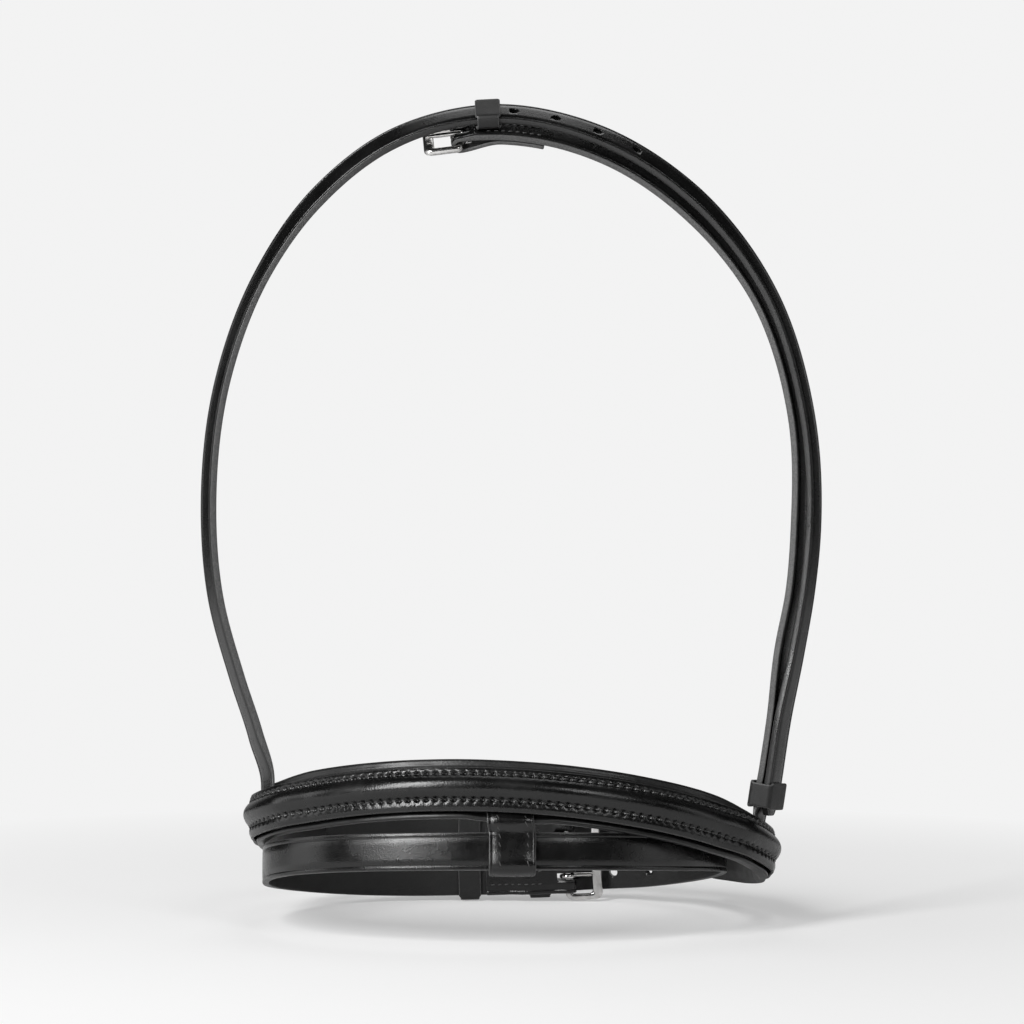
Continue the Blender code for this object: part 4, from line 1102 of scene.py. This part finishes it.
def build_band_skin():
    step = STITCH_PITCH / BAND_MARKS_PER_STITCH
    first = math.ceil((BAND_START - NOSE_FRONT) / step + 1 / 2)
    last = math.floor((BAND_END - NOSE_FRONT) / step - 1 / 2)
    marks = [BAND_START, BAND_START + END_CHAMFER]
    marks += [NOSE_FRONT + step * i for i in range(first, last + 1)]
    marks += [BAND_END - END_CHAMFER, BAND_END]
    path = [NOSE.at(m).moved(BAND_LOOK_SHIFT, 0) for m in marks]
    widths = rounded_ends(marks, BAND_LOOK_HALF)
    shares = [BEAD_WIDTH / 2 * s / BEAD_STEPS for s in range(BEAD_STEPS + 1)]
    shares += [ROW_ACROSS + CHANNEL_WIDTH * s for s in CHANNEL_SHARES]
    shares = sorted(set(round(s, 6) for s in shares))
    columns = [c - BAND_LOOK_SHIFT for c in both_sides(shares)]
    columns += [side * (BAND_LOOK_HALF - EDGE_FALL_WIDTH * s) for side in (-1, 1)
                for s in EDGE_FALL_SHARES]
    sections = []
    for i, (m, half) in enumerate(zip(marks, widths)):
        squeeze = half / BAND_LOOK_HALF
        thin = END_CHAMFER if i in (0, len(marks) - 1) else 0.0
        sections.append(outline(
            half - thin, [c * squeeze for c in columns],
            lambda a: band_inner(m, a / squeeze + BAND_LOOK_SHIFT) + thin,
            lambda a: band_outer(m, a / squeeze + BAND_LOOK_SHIFT) - thin))
    link("nosepiece_band", skin("nosepiece_band", path, sections), BAND_LEATHER_LOOK,
         "noseband", "black_leather", "nosepiece_outer_band")
    first = math.ceil((BAND_START + END_ROUNDING - NOSE_FRONT) / STITCH_PITCH)
    last = math.floor((BAND_END - END_ROUNDING - NOSE_FRONT) / STITCH_PITCH)
    spots = [NOSE_FRONT + STITCH_PITCH * (i + 0.5) for i in range(first, last)]
    for side, label in ((1, "upper"), (-1, "lower")):
        across = side * ROW_ACROSS
        places = [NOSE.at(d).moved(across, band_outer(d, across) + BAND_STITCH_PROUD)
                  for d in spots]
        stitch_row("band_stitches_" + label, places, STITCH_LENGTH, STITCH_RADIUS, "noseband",
                   STITCH_TILT * side)


def eased(reader, v):
    """A section's table read over a small window, so that its corners are soft."""
    window = [v + PADDING_SMOOTH_SHARE * step / 3 for step in range(-3, 4)]
    return sum(reader(max(-1.0, min(1.0, place))) for place in window) / len(window)


def clear_of_loop(mark):
    """0 under the flash loop and 1 away from it."""
    return smooth((abs(mark - NOSE_FRONT) - LOOP_CLEAR) / LOOP_CLEAR_FADE)


def build_padding():
    """The padding sits a little lower than the band and narrows along the sides."""
    length = LINING_END - LINING_START
    count = round(length / PADDING_SPACING)
    marks = [LINING_START + length * i / count for i in range(count + 1)]
    marks.insert(1, marks[0] + 2 * END_CHAMFER)
    marks.insert(-1, marks[-1] - 2 * END_CHAMFER)
    taper = 1 - LINING_SIDE_WIDTH / LINING_WIDTH
    sections, path = [], []
    for i, (m, half) in enumerate(zip(marks, rounded_ends(marks, LINING_WIDTH / 2))):
        clear, aside = clear_of_loop(m), side_share(m)
        half = half * (1 - taper * aside) - PADDING_TRIM * clear
        drop = LINING_DROP + (LINING_SIDE_DROP - LINING_DROP) * aside
        place = NOSE.at(m).moved(PADDING_TRIM * clear - drop, 0)
        thin = END_CHAMFER if i in (0, len(marks) - 1) else 0.0
        pucker = PUCKER * math.cos(math.tau * m / PUCKER_PITCH)

        def inner(a):
            v = a / half
            middle, reach = PUCKER_SHARES
            edge = math.exp(-((abs(v) - middle) / reach) ** 2)
            scale, across = PADDING_WAVE_SCALES
            soft = PADDING_WAVE * noise.noise(place.point * scale + Vector((a * across, 3, 0)))
            return eased(lining_inner, v) + pucker * edge + soft * (1 - v * v) + thin

        def outer(a):
            v = a / half
            soft = PUCKER * noise.noise(place.point * PUCKER_SCALE) * (abs(v) > PUCKER_EDGE_SHARE)
            middle, reach = TOP_ROLL_SHARES
            roll = TOP_ROLL * math.exp(-((v - middle) / reach) ** 2)
            start, end = LOWER_LIFT_SHARES
            lift = (band_gap(m) - BAND_FRONT_GAP) * LOWER_LIFT_SHARE
            lift *= smooth((-v - start) / (end - start))
            if v < 0:
                v += (-v - ramp(-v, LOWER_SHARES)) * clear
            return eased(lining_outer, v) + soft + roll + lift - thin
        columns = [share * half for share in both_sides(PADDING_SHARES)]
        section = outline(half - thin, columns, inner, outer, PADDING_ROUND)
        sections.append([(a, out, 0.0, 0.0) for a, out, cut, flesh in section])
        path.append(place)
    obj = link("nosepiece_padding", skin("nosepiece_padding", path, sections), SOFT_LEATHER,
               "noseband", "padding_leather", "nosepiece_lining", "nosepiece_foam_pad")
    subdivide = obj.modifiers.new("soft", "SUBSURF")
    subdivide.levels = subdivide.render_levels = 1


# Straps


def chape_stitches(chape, name, label, body, spots, pitch, radius, crossing=False):
    """A row of stitches through a chape, on the strap's two faces."""
    levels = chape.return_levels()
    for turn, face in ((-1, "inner"), (1, "outer")):
        places = []
        for reach, across in spots:
            place = chape.route.at(chape.heel + reach)
            depth = ramp(reach, levels) + CHAPE_LEATHER
            if turn > 0:
                depth = ramp(reach, ((0.0, CHAPE_LEATHER), (CHAPE_SKIVE, chape.leather)))
            along, side = place.along, turn * place.across
            if crossing:
                along, side = place.across, -turn * place.along
            places.append(Frame(place.place(across, turn * (depth + STITCH_PROUD)), along, side))
        stitch_row(f"{name}_stitches_{face}{label}", places, pitch * CHAPE_STITCH_SHARE,
                   radius, body)


def chape_rows(chape, name, body, row_in):
    """Stitches along both edges of a chape."""
    count = int((CHAPE_RETURN - CHAPE_ROW_START) / CHAPE_STITCH_PITCH)
    reaches = [CHAPE_ROW_START + CHAPE_STITCH_PITCH * (i + CHAPE_STITCH_OFFSET)
               for i in range(count)]
    for side, label in ((1, "_a"), (-1, "_b")):
        across = side * (chape.width / 2 - row_in)
        chape_stitches(chape, name + "_chape", label, body, [(r, across) for r in reaches],
                       CHAPE_STITCH_PITCH, STITCH_RADIUS)


def cross_row(chape, name, body):
    """A row of stitches across a chape, close to its buckle."""
    count = int((chape.width - 2 * CROSS_ROW_IN) / CROSS_STITCH_PITCH)
    spots = [(CROSS_ROW_REACH, (i - count / 2) * CROSS_STITCH_PITCH) for i in range(count + 1)]
    chape_stitches(chape, name + "_cross", "", body, spots, CROSS_STITCH_PITCH,
                   CROSS_STITCH_RADIUS, True)


def buckled_strap(node, body, chape, rows, highs, widths=None, lows=None, cutters=(),
                  crease=CREASE_IN, row_in=CHAPE_ROW_IN, name=None):
    """A strap that is folded round its buckle's heel bar and stitched to itself."""
    fold = chape.folded_rows()
    lead = len(fold)
    widths = widths or [chape.width / 2] * len(rows)
    lows = lows or [0.0] * len(rows)
    strap(node, body, frames_of(fold + rows), [chape.width / 2] * lead + widths,
          [0.0] * lead + lows, [CHAPE_LEATHER] * lead + highs, crease,
          [slot_cutter(chape), *cutters], name)
    chape_rows(chape, node.split("_")[0], body, row_in)


def fine_tail(route, start, end):
    """Stations for a strap that ends in a point."""
    marks = stations(route, start, end - POINT_LENGTH)
    return marks + [end - POINT_LENGTH * (1 - s / TAIL_STEPS) for s in range(1, TAIL_STEPS + 1)]


def build_chin_straps():
    marks = stations(NOSE, CHIN.heel, BAND_START + CHIN_SEWN_LENGTH)
    thin = marks[-1] - CHIN_SEWN_LENGTH
    lows = ramps(marks, (thin - 2 * CHIN_SEWN_LENGTH, 0.0), (thin, CHIN_SEWN_RISE))
    thick = ramps(marks, (CHIN.heel, CHAPE_LEATHER), (CHIN.heel + CHAPE_SKIVE, CHIN_LEATHER),
                  (thin - CHIN_SEWN_LENGTH, CHIN_LEATHER), (thin, CHIN_SEWN_LEATHER))
    highs = [low + more for low, more in zip(lows, thick)]
    buckled_strap("chin_buckle_strap", "noseband", CHIN, rows_of(map(NOSE.at, marks)), highs,
                  lows=lows, name="chin_strap_buckle_end")

    first = BAND_END - CHIN_SEWN_LENGTH
    heel = CHIN.heel + NOSE.length
    marks = fine_tail(NOSE, first, heel + CHIN_TAIL_FROM_HEEL)
    free, full = BAND_END, first + 2 * CHIN_SEWN_LENGTH
    lows = [ramp(m, ((free, CHIN_SEWN_RISE), (full, 0.0))) if m < full
            else billet_level(m - heel, CHIN_LEATHER) for m in marks]
    thick = ramps(marks, (free, CHIN_SEWN_LEATHER), (full, CHIN_LEATHER))
    highs = [low + more for low, more in zip(lows, thick)]
    strap("chin_billet_strap", "noseband", [NOSE.at(m) for m in marks],
          point_widths(marks, CHIN_WIDTH / 2), lows, highs, CREASE_IN,
          billet_holes(CHIN, heel, CHIN_HOLES, CHIN_HOLE_START), "chin_strap_billet")


def build_flash():
    heel = FLASH_CHAPE.heel
    again = heel + FLASH.length
    marks = fine_tail(FLASH, heel, again + FLASH_TAIL_FROM_HEEL)
    places = [FLASH.at(m).moved(0, billet_level(m - again, FLASH_LEATHER)) for m in marks]
    highs = ramps(marks, (heel, CHAPE_LEATHER), (heel + CHAPE_SKIVE, FLASH_LEATHER))
    buckled_strap("flash_strap", "flash", FLASH_CHAPE, rows_of(places), highs,
                  point_widths(marks, FLASH_WIDTH / 2),
                  cutters=billet_holes(FLASH_CHAPE, again, FLASH_HOLES, FLASH_HOLE_START))


def build_loop():
    rows = loop_rows()
    route = Route(rows)
    thickness = ((route.knot(2), LOOP_TIP), (route.knot(3), LOOP_LEATHER))
    marks = stations(route, 0.0, route.length, [route.knot(i) for i in range(1, len(rows) - 1)])
    halves = [thick / 2 for thick in ramps(marks, *thickness)]
    fold = route.knot(7)
    widths = [LOOP_WIDTH / 2 - LOOP_CORNER * math.exp(-((m - fold) / LOOP_CORNER_REACH) ** 2)
              for m in marks]
    strap("flash_loop", "flash", [route.at(m) for m in marks], widths,
          [-half for half in halves], halves)
    start, end = route.knot(1), route.knot(6)
    for label, across in LOOP_ROWS:
        places = []
        for i in range(int((end - start) / LOOP_STITCH_PITCH)):
            distance = start + LOOP_STITCH_PITCH * (i + LOOP_STITCH_OFFSET)
            places.append(route.at(distance).moved(across, ramp(distance, thickness) / 2))
        stitch_row("loop_stitches_" + label, places, LOOP_STITCH_LENGTH, LOOP_STITCH_RADIUS,
                   "flash", LOOP_STITCH_TILT)


def build_headpiece():
    heel, end = SHORT_CHAPE.heel, SHORT.length
    table = ((heel, CHAPE_LEATHER), (heel + CHAPE_SKIVE, HEADPIECE_LEATHER),
             (end - LINING_WIDTH / 2, HEADPIECE_LEATHER),
             (end - HEADPIECE_SEWN_DEPTH - CLEARANCE, HEADPIECE_SEWN_LEATHER))
    marks = stations(SHORT, heel, end, [mark for mark, level in table[2:]])
    buckled_strap("headpiece_buckle_strap", "noseband", SHORT_CHAPE,
                  rows_of(map(SHORT.at, marks)), ramps(marks, *table),
                  crease=NARROW_CREASE_IN, row_in=NARROW_CHAPE_ROW_IN)
    cross_row(SHORT_CHAPE, "headpiece", "noseband")

    marks = fine_tail(LONG, 0.0, LONG.length)
    highs = ramps(marks, (HEADPIECE_SEWN_DEPTH, HEADPIECE_SEWN_LEATHER),
                  (HEADPIECE_SKIVE, HEADPIECE_LEATHER))
    first = KEEPER_ON_LONG + FIXED_KEEPER_LENGTH
    holes = [LONG.at(first + HOLE_PITCH * i) for i in range(HEADPIECE_HOLES)]
    # The long strap's cut edge gets painted shade from the top on and down its right side
    strap("headpiece_long_strap", "noseband", [LONG.at(m) for m in marks],
          point_widths(marks, HEADPIECE_WIDTH / 2), [0.0] * len(marks), highs,
          cutters=hole_cutters(holes, HEADPIECE_LEATHER), cut_unshaded=painted_shade_on_right)


# Keepers and buckles


def rounded_loop(low, high, corner, step=math.inf):
    """Points and outward directions round a rounded rectangle, with nothing repeated."""
    centres = ((high[0] - corner, high[1] - corner), (low[0] + corner, high[1] - corner),
               (low[0] + corner, low[1] + corner), (high[0] - corner, low[1] + corner))
    points = []
    for n, (x, y) in enumerate(centres):
        for i in range(CORNER_STEPS + 1):
            angle = math.pi / 2 * (n + i / CORNER_STEPS)
            out = (math.cos(angle), math.sin(angle))
            points.append((x + corner * out[0], y + corner * out[1], out))
        a = points[-1][:2]
        b = [c + corner * d for c, d in zip(centres[(n + 1) % 4], out)]
        count = max(1, round(math.dist(a, b) / step))
        for i in range(1, count):
            share = i / count
            points.append((a[0] + (b[0] - a[0]) * share, a[1] + (b[1] - a[1]) * share, out))
    return points


def keeper_skin(node, body, route, distance, width, low, high, length):
    place = route.at(distance)
    half = width / 2 + KEEPER_FIT
    mid = KEEPER_LEATHER / 2
    path, halves = [], []
    for x, y, (ox, oy) in rounded_loop((-half - mid, low - mid), (half + mid, high + mid),
                                       KEEPER_CORNER / 2 + mid, KEEPER_STEP):
        along = place.across * -oy + place.out * ox
        path.append(Frame(place.place(x, y), along, -place.along))
        halves.append(length / 2 - KEEPER_END_ROUND * smooth(abs(ox) / KEEPER_END_SHARE))
    strap(node, body, path, halves, [-mid] * len(path), [mid] * len(path), closed=True)


def build_keepers():
    for name, chape, body in (("chin", CHIN, "noseband"), ("flash", FLASH_CHAPE, "flash")):
        stack = 2 * chape.leather + CLEARANCE + KEEPER_FIT
        keeper_skin(name + "_fixed_keeper", body, chape.route,
                    chape.heel + FIXED_KEEPER_FROM_HEEL, chape.width, -CLEARANCE, stack,
                    FIXED_KEEPER_LENGTH)
        keeper_skin(name + "_running_keeper", name + "_runner", chape.route,
                    chape.heel + RUNNING_KEEPER_FROM_HEEL, chape.width, -KEEPER_FIT, stack,
                    RUNNING_KEEPER_LENGTH)
    over = HEADPIECE_LEATHER + KEEPER_FIT
    under = HEADPIECE_SEAM_GAP - LONG_RUN_OUT - 2 * KEEPER_FIT
    keeper_skin("headpiece_fixed_keeper", "noseband", LONG, KEEPER_ON_LONG, HEADPIECE_WIDTH,
                -KEEPER_FIT, over, FIXED_KEEPER_LENGTH)
    keeper_skin("headpiece_running_keeper", "headpiece_runner", LONG,
                LONG.length - LONG_TAIL - RUNNER_LENGTH / 2, HEADPIECE_WIDTH + 2 * CLEARANCE,
                under, over, RUNNER_LENGTH)


def steel_skin(node, chape, body, verts, faces):
    """A buckle piece, from points along the buckle's own axes."""
    mesh = solid(node + "_skin", [chape.matrix @ Vector(v) for v in verts], faces)
    link(node + "_skin", mesh, STEEL, body, "bright_steel", node)


def frame_skin(node, chape, body):
    """A buckle frame with a rounded section all the way round."""
    half_hole = chape.width / 2 + FRAME_STRAP_ROOM
    half = half_hole + SIDE_BAR
    outer = rounded_loop((-HEEL_BAR / 2, -half), (FRAME_REACH, half), FRAME_CORNER)
    inner = rounded_loop((HEEL_BAR / 2, -half_hole), (FRAME_REACH - END_BAR, half_hole),
                         FRAME_INNER_CORNER)
    verts = []
    for (x, y, _), (u, v, _) in zip(outer, inner):
        for i in range(FRAME_SIDES):
            angle = math.tau * (i + 0.5) / FRAME_SIDES
            c, s = [math.copysign(abs(part) ** FRAME_SQUARENESS, part)
                    for part in (math.cos(angle), math.sin(angle))]
            verts.append(((x + u) / 2 + (x - u) / 2 * c, (y + v) / 2 + (y - v) / 2 * c,
                          FRAME_THICKNESS / 2 * s))
    steel_skin(node, chape, body, verts, ring_faces(len(outer), FRAME_SIDES, True))


def tongue_skin(node, chape, body):
    """A wire tongue bent round the heel bar, with a rounded tip."""
    coil = TONGUE_WIRE / 2 + max(HEEL_BAR / 2 + TONGUE_FIT, FRAME_THICKNESS / 2 + CLEARANCE)
    points = []
    for step in range(COIL_STEPS + 1):
        angle = math.pi / 2 + TONGUE_COIL_TURN * (1 - step / COIL_STEPS)
        points.append(Vector((coil * math.cos(angle), 0, coil * math.sin(angle))))
    tip = FRAME_REACH - END_BAR / 4
    points += [Vector((tip * s / TIP_STEPS, 0, coil)) for s in range(1, TIP_STEPS + 1)]
    last = len(points) - 1
    verts = []
    for i, point in enumerate(points):
        along = (points[min(i + 1, last)] - points[max(i - 1, 0)]).normalized()
        out = Vector((-along.z, 0, along.x))
        round_share = math.sqrt(min(1.0, (last - i) / TIP_ROUND_STEPS))
        fat = TONGUE_WIRE / 2 * (TIP_END_SHARE + (1 - TIP_END_SHARE) * round_share)
        if i == 0:
            fat *= COIL_END_SHARE
        verts += ring(point, Vector((0, 1, 0)), out, fat, TONGUE_SIDES)
    steel_skin(node, chape, body, verts, ring_faces(len(points), TONGUE_SIDES))


def build_buckles():
    for name, chape in (("chin", CHIN), ("flash", FLASH_CHAPE), ("headpiece", SHORT_CHAPE)):
        frame_skin(name + "_buckle_frame", chape, name + "_buckle")
        tongue_skin(name + "_buckle_tongue", chape, name + "_tongue")


# The room: the paper's tones, and a row for each lamp with its place, target, width,
# watts and height

PAPER = 0.895
FLOOR_TONE = 0.92
FLOOR_SIZE = 12
FLOOR_BELOW = 0.0002
ROOM = 0.022
GLOW_REACH = (0.14, 0.55)
NEAR_GLOW = 0.40
BACKDROP_REACH = (0.74, 0.97)
BACKDROP = 0.62
# Each lamp has its name, place, target, width, watts and height.
LAMPS = (
    ("key", (-0.78, -1.02, 0.55), (0, 0, -0.26), 0.38, 27, 1.2),
    ("left", (-1.40, -0.02, 0.05), (0, 0, -0.25), 0.6, 3.6, 1.0),
    ("top", (0.05, 0.70, 0.90), (0, 0, -0.3), 0.7, 2.2, 0.7),
    ("right", (1.30, -0.22, 0.15), (0, 0, -0.20), 0.4, 1.4, 0.9),
    ("front_right", (0.62, -1.05, 0.62), (0, 0, -0.16), 0.30, 3.5, 0.5),
)
CAMERA_PLACE = (0, -1.294, -0.1658)
CAMERA_LENS = 102.1
SENSOR_WIDTH = 36


def build_lamps():
    for name, place, target, width, watts, height in LAMPS:
        lamp = bpy.data.lights.new(name, "AREA")
        lamp.energy = watts
        lamp.shape = "RECTANGLE"
        lamp.size = width
        lamp.size_y = height
        obj = add_object(name, lamp)
        obj.location = place
        obj.rotation_mode = "QUATERNION"
        obj.rotation_quaternion = (Vector(target) - Vector(place)).to_track_quat("-Z", "Y")


def build_room():
    bpy.ops.mesh.primitive_plane_add(size=FLOOR_SIZE, location=(0, 0, CAD_BOX[0].z - FLOOR_BELOW))
    floor = bpy.context.active_object
    floor.name = "floor"
    to = Nodes(bpy.data.materials.new("paper"))
    to.nodes.remove(to.nodes["Principled BSDF"])
    matt = to.add("ShaderNodeBsdfDiffuse", Color=grey(FLOOR_TONE))
    plain = to.add("ShaderNodeEmission", Color=grey(PAPER), Strength=1.0)
    spot = to.add("ShaderNodeTexCoord", output="Object")
    length = to.maths("LENGTH", spot, kind="ShaderNodeVectorMath", output="Value")
    far = to.spread(length, *GLOW_REACH, NEAR_GLOW, 1.0)
    seen = to.add("ShaderNodeLightPath", output="Is Camera Ray")
    blend = to.add("ShaderNodeMixShader", to.times(far, seen), matt, plain)
    to.put(blend, to.nodes["Material Output"].inputs["Surface"])
    floor.data.materials.append(to.owner)

    room = bpy.data.worlds.new("room")
    bpy.context.scene.world = room
    to = Nodes(room)
    back = to.nodes["Background"].inputs
    way = to.add("ShaderNodeTexCoord", output="Generated")
    way = to.add("ShaderNodeSeparateXYZ", way, output="Y")
    around = to.mixed(to.spread(way, *BACKDROP_REACH), grey(ROOM), grey(BACKDROP))
    seen = to.add("ShaderNodeLightPath", output="Is Camera Ray")
    to.put(to.mixed(seen, around, grey(PAPER)), back["Color"])
    to.put(1.0, back["Strength"])


def build_camera():
    data = bpy.data.cameras.new("camera")
    data.sensor_width = SENSOR_WIDTH
    data.lens = CAMERA_LENS
    camera = add_object("camera", data)
    camera.location = CAMERA_PLACE
    camera.rotation_euler = (math.pi / 2, 0, 0)
    bpy.context.scene.camera = camera
    bpy.context.scene.view_settings.view_transform = "Standard"


build_band_skin()
build_padding()
build_chin_straps()
build_flash()
build_loop()
build_headpiece()
build_keepers()
build_buckles()
core = frame["nodes"]["nosepiece_raised_core"]
core.data.materials.clear()
core.data.materials.append(SOFT_LEATHER)
build_room()
build_lamps()
build_camera()
